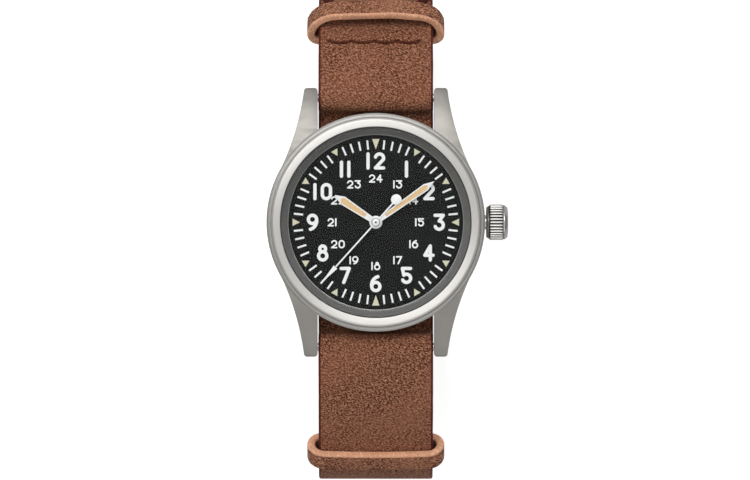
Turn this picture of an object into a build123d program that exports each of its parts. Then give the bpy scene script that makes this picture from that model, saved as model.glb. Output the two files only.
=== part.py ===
from build123d import *
import math
import os

# Field watch on a two-piece leather strap, closed as a loop and lying dial up.
# Millimetres. +Z is up through the dial, +Y points to 12 o'clock, +X to the crown at 3 o'clock.
# The origin is on the surface that the strap rests on, under the middle of the case.
# Heights of the watch head are counted up from the outer face of the case back.

# Case
case_r = 19.0
case_step = 6.2
case_top = 7.0
case_edge = 0.35
case_wall = 4.4
head_gap = 0.06
fit_gap = 0.03
cut_over = 1.0

# Lugs
lug_gap = 20.3
lug_reach = 4.4
lug_tip_w = 2.3
lug_low = 0.2
lug_top = 6.5
lug_tip_top = 3.4
lug_root_at = 28.0
lug_waist_at = 47.2
lug_waist_out = 1.85
lug_crest_in = 7.0
lug_shoulder_top = 5.45
lug_heel_in = 3.0
lug_corner = 0.55
lug_hole_deep = 1.25

# Case back
back_rim = 2.4
back_t = 1.0
back_sleeve_in = 1.0
back_sleeve_t = 1.0
back_sleeve_top = 2.6
back_notches = 6
back_notch_w = 2.0
back_notch_len = 1.6
back_notch_t = 0.4
back_edge = 0.3
gasket_w = 0.5

# Bezel, rehaut and crystal
case_shoulder = 0.8
bezel_w = 1.6
bezel_top = 8.3
bezel_edge = 0.35
seal_t = 0.15
crystal_low = 7.2
crystal_edge_top = 8.55
crystal_dome = 0.95
crystal_hollow = 0.8
crystal_bevel = 0.2
rehaut_w = 1.3
rehaut_top_w = 0.4
rehaut_lip = 0.4

# Crown and stem
crown_r = 3.12
crown_gap = 0.2
crown_len = 3.85
crown_neck = 0.45
crown_neck_r = 2.6
crown_grooves = 34
crown_groove_w = 0.4
crown_groove_deep = 0.22
crown_bevel = 0.55
crown_dome = 0.12
crown_z = 3.25
tube_r = 1.25
tube_wall = 0.4
tube_out = 1.5
seal_len = 0.5
stem_r = 0.45
stem_end_x = 7.2
stem_grip = 1.0

# Dial
dial_t = 0.4
dial_low = 5.1
dial_in = 3.1
print_t = 0.03
lume_t = 0.14
centre_hole_r = 1.12

# Dial markings
tick_in = 0.8
tick_len = 1.6
tick_w = 0.33
minutes_per_turn = 60
hours_per_turn = 12
hour_digit_h = 3.0
hour_digit_w = 2.0
hour_stroke = 0.58
hour_digit_in = 4.45
hour_digit_side_in = 4.1
inner_digit_h = 1.45
inner_digit_w = 1.1
inner_stroke = 0.26
inner_digit_in = 7.5
digit_space = 0.7
inner_space = 0.2
two_from = -20.0
two_sweep = 185.0
three_from = -160.0
three_sweep = 250.0
five_from = -155.0
five_sweep = 285.0
plot_in = 0.65
plot_w = 1.26
plot_h = 1.15
plot_main_h = 1.8
plot_side_h = 1.3

# Hands: how far the tip stays inside the dial, tip to widest place, width there and root width
hand_t = 0.15
hour_tip_share = 0.57
hour_point = 1.7
hour_wide = 1.5
hour_root = 0.9
minute_tip_share = 0.8245
minute_point = 1.85
minute_wide = 1.3
minute_root = 0.8
second_tip_share = 0.947
second_tail = 5.3
second_stem = 0.28
second_tail_r = 0.92
second_point = 3.9
second_wide = 0.83
hand_frame = 0.2
hand_lume_r0 = 2.1
hour_hub_r = 1.12
minute_hub_r = 0.88
second_hub_r = 0.62
second_pin_r = 0.3
second_pin_t = 0.12
hour_hand_z = 5.85
minute_hand_z = 6.15
second_hand_z = 6.45
hour_angle = 303.5
minute_angle = 55.0
second_angle = 222.0

# Movement
move_ring_w = 1.8
move_low = 1.25
plate_wall = 0.9
web_low = 3.9
web_top = 4.4
bridge_t = 0.45
wall_top = 2.4
barrel_bridge_low = 1.62
move_ring_low = 2.75
run_gap = 0.05
pivot_r = 0.1
arbor_r = 0.25
jewel_r = 0.5
jewel_t = 0.25
screw_r = 0.375
screw_t = 0.25
screw_in = 0.5
barrel_screws_at = (10.0, 60.0, 120.0)
train_screws_at = (150.0, 205.0, 265.0, 300.0, 325.0)
slot_w = 0.18
slot_t = 0.1

# Where the barrel bridge starts, where the train bridge takes over and where it ends
barrel_bridge_from = -24.0
barrel_bridge_to = 138.0
train_bridge_to = 282.0
bridge_split = 0.15
sector_steps = 8

# Gear train: teeth and modules
train_module = 0.13
barrel_teeth = 84
centre_pinion_teeth = 12
centre_module = 0.1
centre_teeth = 80
third_pinion_teeth = 10
third_teeth = 75
fourth_pinion_teeth = 10
fourth_teeth = 84
fourth_module = 0.097
escape_pinion_teeth = 7
escape_teeth = 15
escape_r = 2.3
escape_root_r = 1.85
wind_module = 0.2
ratchet_teeth = 40
crown_wheel_teeth = 24
winding_pinion_teeth = 14
crown_wheel_x = 7.6
contrate_w = 0.5
contrate_low = 2.03
winding_pinion_x0 = 9.2
winding_pinion_x1 = 10.9
winding_bite = 0.03
clutch_r = 0.8
clutch_x0 = 7.75
clutch_groove = 0.2
motion_module = 0.15
cannon_teeth = 12
minute_wheel_teeth = 36
minute_pinion_teeth = 10
train_spokes = 5
escape_spokes = 4
centre_tube_r = 0.42
centre_tube_bore_r = 0.2
cannon_r = 0.62
hour_tube_r = 0.84
tooth_share = 0.23
tooth_tip_share = 0.1
addendum_share = 0.9
dedendum_share = 1.2

# Gear train: where the arbors stand, as directions from the centre
barrel_angle = 54.0
third_angle = 204.0
escape_angle = 266.0
balance_angle = 308.0
balance_at_r = 7.5
minute_wheel_angle = 150.0

# Gear train: heights of the faces
barrel_drum_low = 2.75
barrel_drum_top = 3.78
train_low = 3.35
train_top = 3.7
wheel_t = 0.15
centre_wheel_low = 2.5
third_wheel_low = 2.15
fourth_wheel_low = 1.85
escape_low = 3.38
ratchet_low = 1.27
ratchet_t = 0.28
motion_low = 4.42
motion_t = 0.2
barrel_r = 5.25

# Balance and escapement
balance_r = 3.9
balance_rim_w = 0.45
balance_low = 2.7
balance_rim_t = 0.32
roller_r = 0.55
roller_low = 3.1
fork_low = 3.36
fork_t = 0.2
fork_bridge_low = 3.12
fork_bridge_t = 0.16
fork_bridge_half = 2.6
fork_bridge_w = 1.4
hair_r = 1.7
hair_turns = 4
hair_wire = 0.1
hair_low = 2.3
hair_t = 0.18
impulse_r = 0.08
stone_w = 0.16
stone_len = 0.6
fork_arm_w = 0.3
fork_horn = 0.22
pallet_arm_share = 0.75
pallet_arm_turn = 115.0
main_turns = 5
main_wire = 0.2

# Spring bars
bar_reach = 2.7
bar_z = 1.6
bar_r = 0.75
bar_bore_r = 0.55
bar_half = 8.9
pin_tip_r = 0.4
pin_stem_r = 0.42
pin_tip_len = 1.0
pin_stem_len = 2.4
pin_travel = 1.0
pin_flange_t = 0.2
bar_spring_r = 0.4
bar_spring_wire = 0.12

# Strap leather
strap_w = 20.0
strap_t = 1.6
under_t = 1.0
layer_gap = 0.1
loop_gap = 0.1
under_back_gap = 0.1
case_bend_r = 1.5
bar_fall = 12.0
# The 12 o'clock arm: outer radius and steepness where each bend ends
top_bend_r = 28.0
top_bend_end = 41.0
top_turn_r = 22.2
top_turn_end = 118.0
buckle_run = 16.5
low_turn_r = 13.0
# The 6 o'clock arm
front_bend_r = 39.0
front_bend_end = 43.0
front_turn_r = 14.0
front_turn_end = 90.0
half_turn = 180.0
# The under strap leaves the arm above it here
under_top_meet = 32.5
under_top_bend_r = 8.0
under_top_rise_r = 6.0
under_front_meet = 42.0
under_front_bend_r = 20.0
under_front_rise_r = 10.0
under_end = 50.0
under_start = 50.0

# Buckle, along the straight run of the arm, and outwards from the arm's face
bar_at = 5.2
frame_at = 15.2
buckle_bar_r = 0.8
buckle_rod_r = 0.9
buckle_eye_r = 1.5
buckle_inner = 20.7
tongue_w = 1.9
tongue_t = 0.9
tongue_over = 0.9
tongue_hub_r = 1.35
fold_wrap = 205.0
fold_back_r = 4.0
fold_end = 9.0
fold_slot_w = 2.8
tail_rise = 19.3
tail_rise_r = 9.0
tail_rise_at = 1.2
tail_end = 45.0
tail_tip_w = 9.0
tail_tip_len = 7.0
hole_r = 1.0
hole_pitch = 7.0
holes = 6
tongue_slot_len = 6.6
tongue_slot_at = 9.3

# Keepers
keeper_w = 3.6
keeper_t = 1.4
keeper_outer = 24.0
keeper_edge = 1.2
keeper_top_at = 42.3
keeper_top_depth = 7.8
keeper_free_at = 90.0
keeper_front_at = 43.4
keeper_gap = 0.18

# Stitching
stitch_r = 0.22
stitch_len = 1.5
stitch_pitch = 1.95
stitches = 9
stitch_at = 33.1

full_turn = 360.0
spiral_points = 8

# Sizes that follow the case
bezel_r = case_r - case_shoulder
back_r = case_r - back_rim
back_sleeve_r = back_r - back_sleeve_in
dial_r = bezel_r - dial_in
case_bore_r = case_r - case_wall
move_r = case_bore_r - move_ring_w
wall_in_r = move_r - plate_wall
screw_at_r = move_r - screw_in
bar_y = case_r + bar_reach
lug_tip_y = case_r + lug_reach
tick_r1 = dial_r - tick_in
tick_r0 = tick_r1 - tick_len
plot_r = dial_r - plot_in
hour_tip = dial_r * hour_tip_share
minute_tip = dial_r * minute_tip_share
second_tip = dial_r * second_tip_share


def disc(radius, low, high, at=(0, 0)):
    """Upright round solid between two heights."""
    face = Plane.XY.offset(low) * Pos(at[0], at[1]) * Circle(radius)
    return extrude(face, high - low, dir=(0, 0, 1))


def ring(outer, inner, low, high, at=(0, 0)):
    """Upright tube between two heights."""
    return disc(outer, low, high, at) - disc(inner, low - cut_over, high + cut_over, at)


def block(x0, x1, y0, y1, z0, z1):
    """Box between opposite corners."""
    middle = Pos((x0 + x1) / 2, (y0 + y1) / 2, (z0 + z1) / 2)
    return middle * Box(x1 - x0, y1 - y0, z1 - z0)


def rod(radius, x0, x1, y, z):
    """Round bar along X."""
    face = Plane(origin=(x0, y, z), x_dir=(0, 1, 0), z_dir=(1, 0, 0)) * Circle(radius)
    return extrude(face, x1 - x0, dir=(1, 0, 0))


def polar(radius, degrees):
    """Place at a distance from the centre, in degrees from +X towards +Y."""
    angle = math.radians(degrees)
    return (radius * math.cos(angle), radius * math.sin(angle))


def clock(radius, degrees):
    """Place on the dial, in degrees clockwise from 12 o'clock."""
    return polar(radius, 90 - degrees)


def turned(points):
    """Solid of revolution about Z from an outline of radius and height."""
    outline = [(r, 0, z) for r, z in points]
    return revolve(make_face(Polyline(*outline, close=True)), axis=Axis.Z)


def plate(points, low, high):
    """Upright prism over a flat outline."""
    outline = [(x, y, low) for x, y in points]
    return extrude(make_face(Polyline(*outline, close=True)), high - low, dir=(0, 0, 1))


def save(name, *solids):
    """One STEP file for one piece, or for one set of like pieces."""
    whole = []
    for solid in solids:
        whole.extend(solid.solids())
    shape = whole[0] if len(whole) == 1 else Compound(children=whole)
    export_step(shape, f"parts/{name}.step")


def save_head(name, *solids):
    """A piece of the watch head, lifted to its height on the strap."""
    save(name, *[Pos(0, 0, back_z) * solid for solid in solids])


# The strap's route, as a turtle in the YZ plane


class Route:
    """Line of straight runs and bends, with strips of leather beside it."""

    def __init__(self, y, z, heading):
        self.at = (y, z)
        self.heading = heading
        self.steps = []

    def normal(self, heading):
        angle = math.radians(heading)
        return (-math.sin(angle), math.cos(angle))

    def run(self, length):
        angle = math.radians(self.heading)
        start = self.at
        self.at = (start[0] + length * math.cos(angle), start[1] + length * math.sin(angle))
        self.steps.append(("run", start, self.at, self.heading))

    def bend(self, radius, turn):
        side = math.copysign(1, turn)
        out = self.normal(self.heading)
        centre = (self.at[0] + side * radius * out[0], self.at[1] + side * radius * out[1])
        start = self.heading
        self.heading += turn
        out = self.normal(self.heading)
        self.at = (centre[0] - side * radius * out[0], centre[1] - side * radius * out[1])
        self.steps.append(("bend", centre, radius, side, start, self.heading))

    def bend_to(self, radius, heading):
        self.bend(radius, heading - self.heading)

    def edges(self, shift):
        """The line moved to its left by a distance, as edges in order."""
        result = []
        for step in self.steps:
            if step[0] == "run":
                out = self.normal(step[3])
                ends = [(0, p[0] + shift * out[0], p[1] + shift * out[1]) for p in step[1:3]]
                result.append(Edge.make_line(*ends))
                continue
            centre, radius, side, start, stop = step[1:]
            reach = shift - side * radius
            points = []
            for heading in (start, (start + stop) / 2, stop):
                out = self.normal(heading)
                points.append((0, centre[0] + reach * out[0], centre[1] + reach * out[1]))
            result.append(Edge.make_three_point_arc(*points))
        return result

    def strip(self, left, right, width):
        """Solid between two lines beside the route, centred on the YZ plane."""
        near = self.edges(left)
        far = self.edges(right)
        start_cap = Edge.make_line(near[0] @ 0, far[0] @ 0)
        end_cap = Edge.make_line(near[-1] @ 1, far[-1] @ 1)
        face = Face(Wire(near + far + [start_cap, end_cap]))
        return extrude(face, width / 2, dir=(1, 0, 0), both=True)


def flipped(solid):
    """The same piece on the other side of the case's middle."""
    return mirror(solid, Plane.XZ)


def slope_out(degrees):
    """Outward direction of an arm's face where it falls this steeply."""
    angle = math.radians(degrees)
    return (math.sin(angle), math.cos(angle))


def along(centre, radius, degrees):
    """Point on a bend of an arm, as y and z."""
    out = slope_out(degrees)
    return (centre[0] + radius * out[0], centre[1] + radius * out[1])


def fall(bends):
    """Sideways and downward travel of bends given as radius, start and end steepness."""
    side = sum(r * (slope_out(b)[0] - slope_out(a)[0]) for r, a, b in bends)
    down = sum(r * (slope_out(a)[1] - slope_out(b)[1]) for r, a, b in bends)
    return side, down


# Both arms fall by the same height from the spring bars to the surface that they rest on
wrap_r = bar_r + loop_gap + strap_t
buckle_out = slope_out(top_turn_end)
bar_out = slope_out(bar_fall)
top_side, top_down = fall([
    (top_bend_r, bar_fall, top_bend_end),
    (top_turn_r, top_bend_end, top_turn_end),
    (low_turn_r, top_turn_end, half_turn),
])
top_side += buckle_run * buckle_out[1]
top_down += buckle_run * buckle_out[0]
front_side, front_down = fall([
    (front_bend_r, bar_fall, front_bend_end),
    (front_turn_r, front_bend_end, front_turn_end),
])
front_low_r = top_down - front_down
start_y = bar_y + wrap_r * bar_out[0]
start_z = top_down
bar_height = start_z - wrap_r * bar_out[1]
back_z = bar_height - bar_z
top_centre = (start_y - top_bend_r * bar_out[0], start_z - top_bend_r * bar_out[1])
front_centre = (start_y - front_bend_r * bar_out[0], start_z - front_bend_r * bar_out[1])
top_turn_centre = along(top_centre, top_bend_r - top_turn_r, top_bend_end)
strap_case_z = back_z - under_back_gap
buckle_start = along(top_turn_centre, top_turn_r, top_turn_end)
rest_start = -(start_y + front_side - front_low_r)
rest_end = start_y + top_side
low_centre = (rest_end, low_turn_r)
layer = strap_t + layer_gap


def over_case():
    """From the middle of the case back, up beside the case and over a spring bar."""
    route = Route(0, strap_case_z, 0)
    route.run(bar_y - wrap_r - case_bend_r)
    route.bend(case_bend_r, 90)
    route.run(bar_height - strap_case_z - case_bend_r)
    route.bend_to(wrap_r, -bar_fall)
    return route


def buckle_arm():
    """The 12 o'clock arm, round the buckle's bar and back against itself."""
    route = over_case()
    route.bend_to(top_bend_r, -top_bend_end)
    route.bend_to(top_turn_r, -top_turn_end)
    route.run(bar_at)
    route.bend(strap_t + loop_gap + buckle_bar_r, -fold_wrap)
    turn = fold_wrap - half_turn
    bend_gain = 1 - math.cos(math.radians(turn))
    room = 2 * (buckle_bar_r + loop_gap) - layer_gap
    closed = (strap_t + loop_gap + buckle_bar_r + fold_back_r) * bend_gain
    slide = (room - closed) / math.sin(math.radians(turn))
    route.run(slide)
    route.bend(fold_back_r, turn)
    route.run(buckle_start_left(route))
    route.bend(top_turn_r - layer - strap_t, fold_end)
    return route


def buckle_start_left(route):
    """Distance from the route's end, up the straight run, to where the arm starts to curve."""
    down = (buckle_out[1], -buckle_out[0])
    return (route.at[0] - buckle_start[0]) * down[0] + (route.at[1] - buckle_start[1]) * down[1]


def hole_arm():
    """The 6 o'clock arm, under the wrist, through the buckle and over the 12 o'clock arm."""
    route = over_case()
    route.bend_to(front_bend_r, -front_bend_end)
    route.bend_to(front_turn_r, -front_turn_end)
    route.bend_to(front_low_r, -half_turn)
    route.run(rest_end - rest_start)
    route.bend_to(low_turn_r, top_turn_end - full_turn)
    turn = math.radians(tail_rise)
    climb = 2 * tail_rise_r * (1 - math.cos(turn))
    slide = (layer - climb) / math.sin(turn)
    used = 2 * tail_rise_r * math.sin(turn) + slide * math.cos(turn)
    route.run(buckle_run - frame_at + tail_rise_at)
    route.bend(tail_rise_r, tail_rise)
    route.run(slide)
    route.bend(tail_rise_r, -tail_rise)
    route.run(frame_at - tail_rise_at - used)
    route.bend(top_turn_r + layer, tail_end - top_turn_end)
    return route


def under_arm(centre, bend_r, rise_r, turn_r, meet, bend_end):
    """Half of the under strap: flat below the case, then up against the inside of an arm."""
    inner_r = bend_r - layer
    crest = along(centre, inner_r - turn_r, meet)
    level = strap_case_z - layer - layer_gap
    reach = rise_r + turn_r
    rise = math.acos((level + rise_r - crest[1]) / reach)
    route = Route(0, level, 0)
    route.run(crest[0] - reach * math.sin(rise))
    route.bend(rise_r, math.degrees(rise))
    route.bend_to(turn_r, -meet)
    route.bend_to(inner_r, -bend_end)
    return route


# The buckle's own plane: x across the strap, y down the arm, z out from its face
buckle_plane = Plane(
    origin=(0, buckle_start[0], buckle_start[1]),
    x_dir=(1, 0, 0),
    z_dir=(0, buckle_out[0], buckle_out[1]),
)
bar_sink = -(layer + loop_gap - layer_gap + buckle_bar_r)
crossbar_out = layer_gap + buckle_rod_r
frame_half = buckle_inner / 2 + buckle_rod_r


def tail_cutters():
    """Corners beside the pointed tip of the strap's free end."""
    tip_turn = math.degrees(tail_tip_len / (top_turn_r + layer))
    at = along(top_turn_centre, top_turn_r + layer, tail_end + tip_turn)
    tangent = (slope_out(tail_end + tip_turn)[1], -slope_out(tail_end + tip_turn)[0])
    plane = Plane(origin=(0, at[0], at[1]), x_dir=(1, 0, 0), z_dir=(0, -tangent[1], tangent[0]))
    half = strap_w / 2 + cut_over
    length = tail_tip_len + cut_over
    result = []
    for side in (1, -1):
        corner = Polyline((side * strap_w / 2, 0), (side * half, 0), (side * half, -length),
                          (side * tail_tip_w / 2, -length), close=True)
        result.append(plane * extrude(make_face(corner), layer, both=True))
    return result


def tail_holes():
    """Round holes along the free arm, at one pitch, on both sides of the buckle's tongue."""
    result = []
    low_length = low_turn_r * math.radians(half_turn - top_turn_end)
    for index in range(2, holes):
        past = tongue_slot_at + index * hole_pitch - buckle_run
        if past < low_length:
            steep = top_turn_end + math.degrees(past / low_turn_r)
            at = along(low_centre, low_turn_r, steep)
            out = slope_out(steep)
        else:
            at = (rest_end - (past - low_length), 0)
            out = (0, -1)
        plane = Plane(origin=(0, at[0], at[1]), x_dir=(1, 0, 0), z_dir=(0, out[0], out[1]))
        result.append(plane * Cylinder(hole_r, 2 * strap_t + cut_over))
    return result


def make_main_strap():
    near = buckle_arm().strip(0, -strap_t, strap_w)
    slot_low = bar_at - buckle_bar_r - strap_t
    slot_high = bar_at + wrap_r + cut_over
    slot_deep = 2 * wrap_r + cut_over
    slot = block(-fold_slot_w / 2, fold_slot_w / 2, slot_low, slot_high, -slot_deep, cut_over)
    near = near - buckle_plane * slot
    far = flipped(hole_arm().strip(0, -strap_t, strap_w))
    for cutter in tail_cutters() + tail_holes():
        far = far - cutter
    long_slot = SlotOverall(tongue_slot_len, fold_slot_w, rotation=90)
    cutter = Pos(0, tongue_slot_at) * extrude(long_slot, layer + strap_t, both=True)
    return near + (far - buckle_plane * cutter)


def make_under_strap():
    top = under_arm(top_centre, top_bend_r, under_top_rise_r, under_top_bend_r,
                    under_top_meet, top_bend_end)
    top.bend_to(top_turn_r - layer, -under_start)
    front = under_arm(front_centre, front_bend_r, under_front_rise_r, under_front_bend_r,
                      under_front_meet, front_bend_end)
    front.bend_to(front_turn_r - layer, -under_end)
    return top.strip(0, -under_t, strap_w) + flipped(front.strip(0, -under_t, strap_w))


def make_keeper(centre, radius, degrees, low, high):
    """Leather loop round the arm, between two depths beside its outer face."""
    at = along(centre, radius, degrees)
    out = slope_out(degrees)
    plane = Plane(origin=(0, at[0], at[1]), x_dir=(1, 0, 0), z_dir=(0, -out[1], out[0]))
    depth = high - low
    middle = Pos(0, (high + low) / 2)
    inner_w = keeper_outer - 2 * keeper_t
    outside = middle * RectangleRounded(keeper_outer, depth, keeper_edge + keeper_t)
    inside = middle * RectangleRounded(inner_w, depth - 2 * keeper_t, keeper_edge)
    return plane * extrude(outside - inside, keeper_w / 2, both=True)


def make_keepers():
    low = -(layer + under_t + keeper_gap + keeper_t)
    free_low = -(strap_t + keeper_gap + keeper_t)
    top = make_keeper(top_centre, top_bend_r, keeper_top_at, low, low + keeper_top_depth)
    over_tail = layer + keeper_gap + keeper_t
    free = make_keeper(top_turn_centre, top_turn_r, keeper_free_at, free_low, over_tail)
    front = flipped(make_keeper(front_centre, front_bend_r, keeper_front_at, low, keeper_gap + keeper_t))
    return top, free, front


def make_stitching():
    """Thread lying across both faces of the two layers near the 12 o'clock lugs."""
    plane_at = along(top_centre, top_bend_r, stitch_at)
    out = slope_out(stitch_at)
    plane = Plane(origin=(0, plane_at[0], plane_at[1]), x_dir=(1, 0, 0), z_dir=(0, out[0], out[1]))
    result = []
    for index in range(stitches):
        middle = (index - (stitches - 1) / 2) * stitch_pitch
        half = block(middle - stitch_len / 2, middle + stitch_len / 2, -stitch_r, stitch_r, 0, stitch_r)
        thread = rod(stitch_r, middle - stitch_len / 2, middle + stitch_len / 2, 0, 0) & half
        back = mirror(thread, Plane.XY)
        result.append(plane * (Pos(0, 0, run_gap) * thread))
        result.append(plane * (Pos(0, 0, -(layer + under_t + run_gap)) * back))
    return result


def make_buckle():
    """Frame, pivot bar and tongue, each in the buckle's own plane."""
    crossbar = rod(buckle_rod_r, -frame_half, frame_half, frame_at, crossbar_out)
    run = frame_at - bar_at
    rise = crossbar_out - bar_sink
    length = math.hypot(run, rise)
    frame = crossbar
    for side in (1, -1):
        start = (side * frame_half, bar_at, bar_sink)
        arm_plane = Plane(origin=start, x_dir=(1, 0, 0), z_dir=(0, run / length, rise / length))
        arm = extrude(arm_plane * Circle(buckle_rod_r), length, dir=(0, run / length, rise / length))
        knuckle = Pos(side * frame_half, frame_at, crossbar_out) * Sphere(buckle_rod_r)
        eye = rod(buckle_eye_r, side * frame_half - buckle_rod_r, side * frame_half + buckle_rod_r,
                  bar_at, bar_sink)
        frame = frame + arm + knuckle + eye
    reach = frame_half + buckle_rod_r
    frame = frame - rod(buckle_bar_r + fit_gap, -reach - cut_over, reach + cut_over, bar_at, bar_sink)
    pivot = rod(buckle_bar_r, -reach, reach, bar_at, bar_sink)
    blade_low = crossbar_out + (buckle_rod_r + run_gap) * length / run
    half = tongue_w / 2
    tip_at = frame_at + buckle_rod_r + tongue_over
    outline = Polyline(
        (0, bar_at, bar_sink - tongue_t / 2),
        (0, frame_at, blade_low),
        (0, tip_at, blade_low - tongue_t / 2),
        (0, tip_at, blade_low + tongue_t / 2),
        (0, frame_at, blade_low + tongue_t),
        (0, bar_at, bar_sink + tongue_t / 2),
        close=True,
    )
    blade = extrude(make_face(outline), half, dir=(1, 0, 0), both=True)
    tongue = blade + rod(tongue_hub_r, -half, half, bar_at, bar_sink)
    tongue = tongue - rod(buckle_bar_r + run_gap, -half - cut_over, half + cut_over, bar_at, bar_sink)
    return [buckle_plane * solid for solid in (frame, pivot, tongue)]


# Case


case_low = back_t
ring_step = bezel_r + head_gap
crystal_r = bezel_r - bezel_w - seal_t
seat_r = bezel_r - bezel_w
rehaut_r = seat_r - head_gap
dial_top = dial_low + dial_t
sleeve_bore_r = back_sleeve_r + fit_gap


def make_lug():
    """One lug, from a flowing outline seen from above and one seen from the side."""
    half_gap = lug_gap / 2
    tip_x = half_gap + lug_tip_w
    root = polar(case_r - head_gap, lug_root_at)
    side = ThreePointArc(root, polar(case_r + lug_waist_out, lug_waist_at), (tip_x, lug_tip_y))
    rest = Polyline((tip_x, lug_tip_y), (half_gap, lug_tip_y), (half_gap, root[1]), root)
    plan = extrude(make_face(side + rest), case_top)
    tips = plan.edges().filter_by(Axis.Z).group_by(Axis.Y)[-1]
    plan = fillet(tips, lug_corner)
    crest_y = case_r - lug_crest_in
    top = ThreePointArc((0, crest_y, lug_top), (0, case_r, lug_shoulder_top), (0, lug_tip_y, lug_tip_top))
    heel_y = case_r - lug_heel_in
    under = Polyline((0, lug_tip_y, lug_tip_top), (0, lug_tip_y, lug_low), (0, heel_y, case_low),
                     (0, root[1], case_low), (0, root[1], lug_top), (0, crest_y, lug_top))
    shape = extrude(make_face(top + under), case_r, dir=(1, 0, 0))
    lug = plan & shape
    return lug - rod(pin_tip_r + run_gap, half_gap - cut_over, half_gap + lug_hole_deep, bar_y, bar_z)


def make_case_middle():
    outline = [
        (sleeve_bore_r, case_low),
        (case_r - case_edge, case_low),
        (case_r, case_low + case_edge),
        (case_r, case_top - case_edge),
        (case_r - case_edge, case_top),
        (ring_step, case_top),
        (ring_step, case_step),
        (seat_r, case_step),
        (seat_r, dial_top),
        (dial_r + head_gap, dial_top),
        (dial_r + head_gap, dial_low),
        (case_bore_r, dial_low),
        (case_bore_r, back_sleeve_top + fit_gap),
        (sleeve_bore_r, back_sleeve_top + fit_gap),
    ]
    body = turned(outline)
    lug = make_lug() - disc(ring_step + head_gap, 0, case_top + cut_over)
    other = mirror(lug, Plane.YZ)
    lugs = [lug, other, flipped(lug), flipped(other)]
    body = body + lugs
    notch = rod(tube_r + fit_gap, case_bore_r - cut_over, case_r + cut_over, 0, crown_z)
    groove_low = back_sleeve_r + gasket_w
    groove = ring(groove_low + gasket_w, groove_low, case_low - cut_over, case_low + gasket_w)
    return body - notch - groove


def make_case_back():
    """Screw-in back with key notches round its face."""
    plate_face = [
        (0, 0),
        (back_r - back_edge, 0),
        (back_r, back_edge),
        (back_r, back_t),
        (back_sleeve_r, back_t),
        (back_sleeve_r, back_sleeve_top),
        (back_sleeve_r - back_sleeve_t, back_sleeve_top),
        (back_sleeve_r - back_sleeve_t, back_t),
        (0, back_t),
    ]
    back = turned(plate_face)
    key = block(back_r - back_notch_len, back_r + cut_over, -back_notch_w / 2, back_notch_w / 2,
                -cut_over, back_notch_t)
    for index in range(back_notches):
        back = back - Rot(0, 0, full_turn / back_notches * (index + 1 / 2)) * key
    return back


def make_bezel():
    return turned([
        (seat_r, crystal_low),
        (seat_r, bezel_top),
        (bezel_r - bezel_edge, bezel_top),
        (bezel_r, bezel_top - bezel_edge),
        (bezel_r, case_step),
        (seat_r, case_step),
    ])


def make_rehaut():
    return turned([
        (rehaut_r - rehaut_w, dial_top),
        (rehaut_r, dial_top),
        (rehaut_r, crystal_low),
        (rehaut_r - rehaut_top_w, crystal_low),
        (rehaut_r - rehaut_w, dial_top + rehaut_lip),
    ])


def cap_middle(reach, height):
    """Half-way point of a shallow round cap, as radius and drop from its top."""
    ball_r = (reach ** 2 + height ** 2) / (2 * height)
    half = math.asin(reach / ball_r) / 2
    return ball_r * math.sin(half), ball_r * (1 - math.cos(half))


def make_crystal():
    """Box-edged crystal with a low dome, hollowed to match below."""
    top_z = crystal_edge_top + crystal_dome
    hollow_z = crystal_low + crystal_hollow
    hollow_r = crystal_r - bezel_w
    top_r = crystal_r - crystal_bevel
    near, drop = cap_middle(top_r, crystal_dome)
    top = ThreePointArc((top_r, 0, crystal_edge_top), (near, 0, top_z - drop), (0, 0, top_z))
    near, drop = cap_middle(hollow_r, crystal_hollow)
    under = ThreePointArc((0, 0, hollow_z), (near, 0, hollow_z - drop), (hollow_r, 0, crystal_low))
    side = Polyline((hollow_r, 0, crystal_low), (crystal_r, 0, crystal_low),
                    (crystal_r, 0, crystal_edge_top - crystal_bevel), (top_r, 0, crystal_edge_top))
    axis = Line((0, 0, top_z), (0, 0, hollow_z))
    return revolve(make_face(axis + under + side + top), axis=Axis.Z)


# Crown and winding works


crown_x0 = case_r + crown_gap
crown_x1 = crown_x0 + crown_len
crown_bore_r = tube_r + head_gap
tube_bore_r = tube_r - tube_wall
tube_x1 = case_r + tube_out
seal_x0 = tube_x1 - seal_len - run_gap
crown_bore_x1 = tube_x1 + crown_gap
stem_x1 = crown_bore_x1 + stem_grip


def turned_x(points):
    """Solid of revolution about the stem's axis from an outline of x and radius."""
    outline = [(x, 0, crown_z + r) for x, r in points]
    axis = Axis((0, 0, crown_z), (1, 0, 0))
    return revolve(make_face(Polyline(*outline, close=True)), axis=axis)


def make_crown():
    body = turned_x([
        (crown_x0, 0),
        (crown_x0, crown_neck_r),
        (crown_x0 + crown_neck, crown_r - crown_groove_deep),
        (crown_x0 + crown_neck, crown_r),
        (crown_x1 - crown_bevel - crown_dome, crown_r),
        (crown_x1 - crown_dome, crown_r - crown_bevel),
        (crown_x1, (crown_r - crown_bevel) / 2),
        (crown_x1, 0),
    ])
    groove = Pos(0, 0, crown_z + crown_r) * Rot(45, 0, 0) * Box(
        crown_len - crown_neck - crown_bevel,
        crown_groove_w / math.sqrt(2),
        crown_groove_w / math.sqrt(2),
    )
    groove = Pos(crown_x0 + (crown_len - crown_bevel) / 2, 0, 0) * groove
    axis = Axis((0, 0, crown_z), (1, 0, 0))
    for index in range(crown_grooves):
        body = body - groove.rotate(axis, full_turn / crown_grooves * index)
    body = body - rod(crown_bore_r, crown_x0 - cut_over, crown_bore_x1, 0, crown_z)
    body = body - rod(tube_r + gasket_w + fit_gap, seal_x0, seal_x0 + seal_len, 0, crown_z)
    return body - rod(stem_r + fit_gap, crown_x0, stem_x1, 0, crown_z)


def make_crown_tube():
    tube = rod(tube_r, sleeve_bore_r + crown_gap, tube_x1, 0, crown_z)
    return tube - rod(tube_bore_r, sleeve_bore_r, tube_x1 + cut_over, 0, crown_z)


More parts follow.
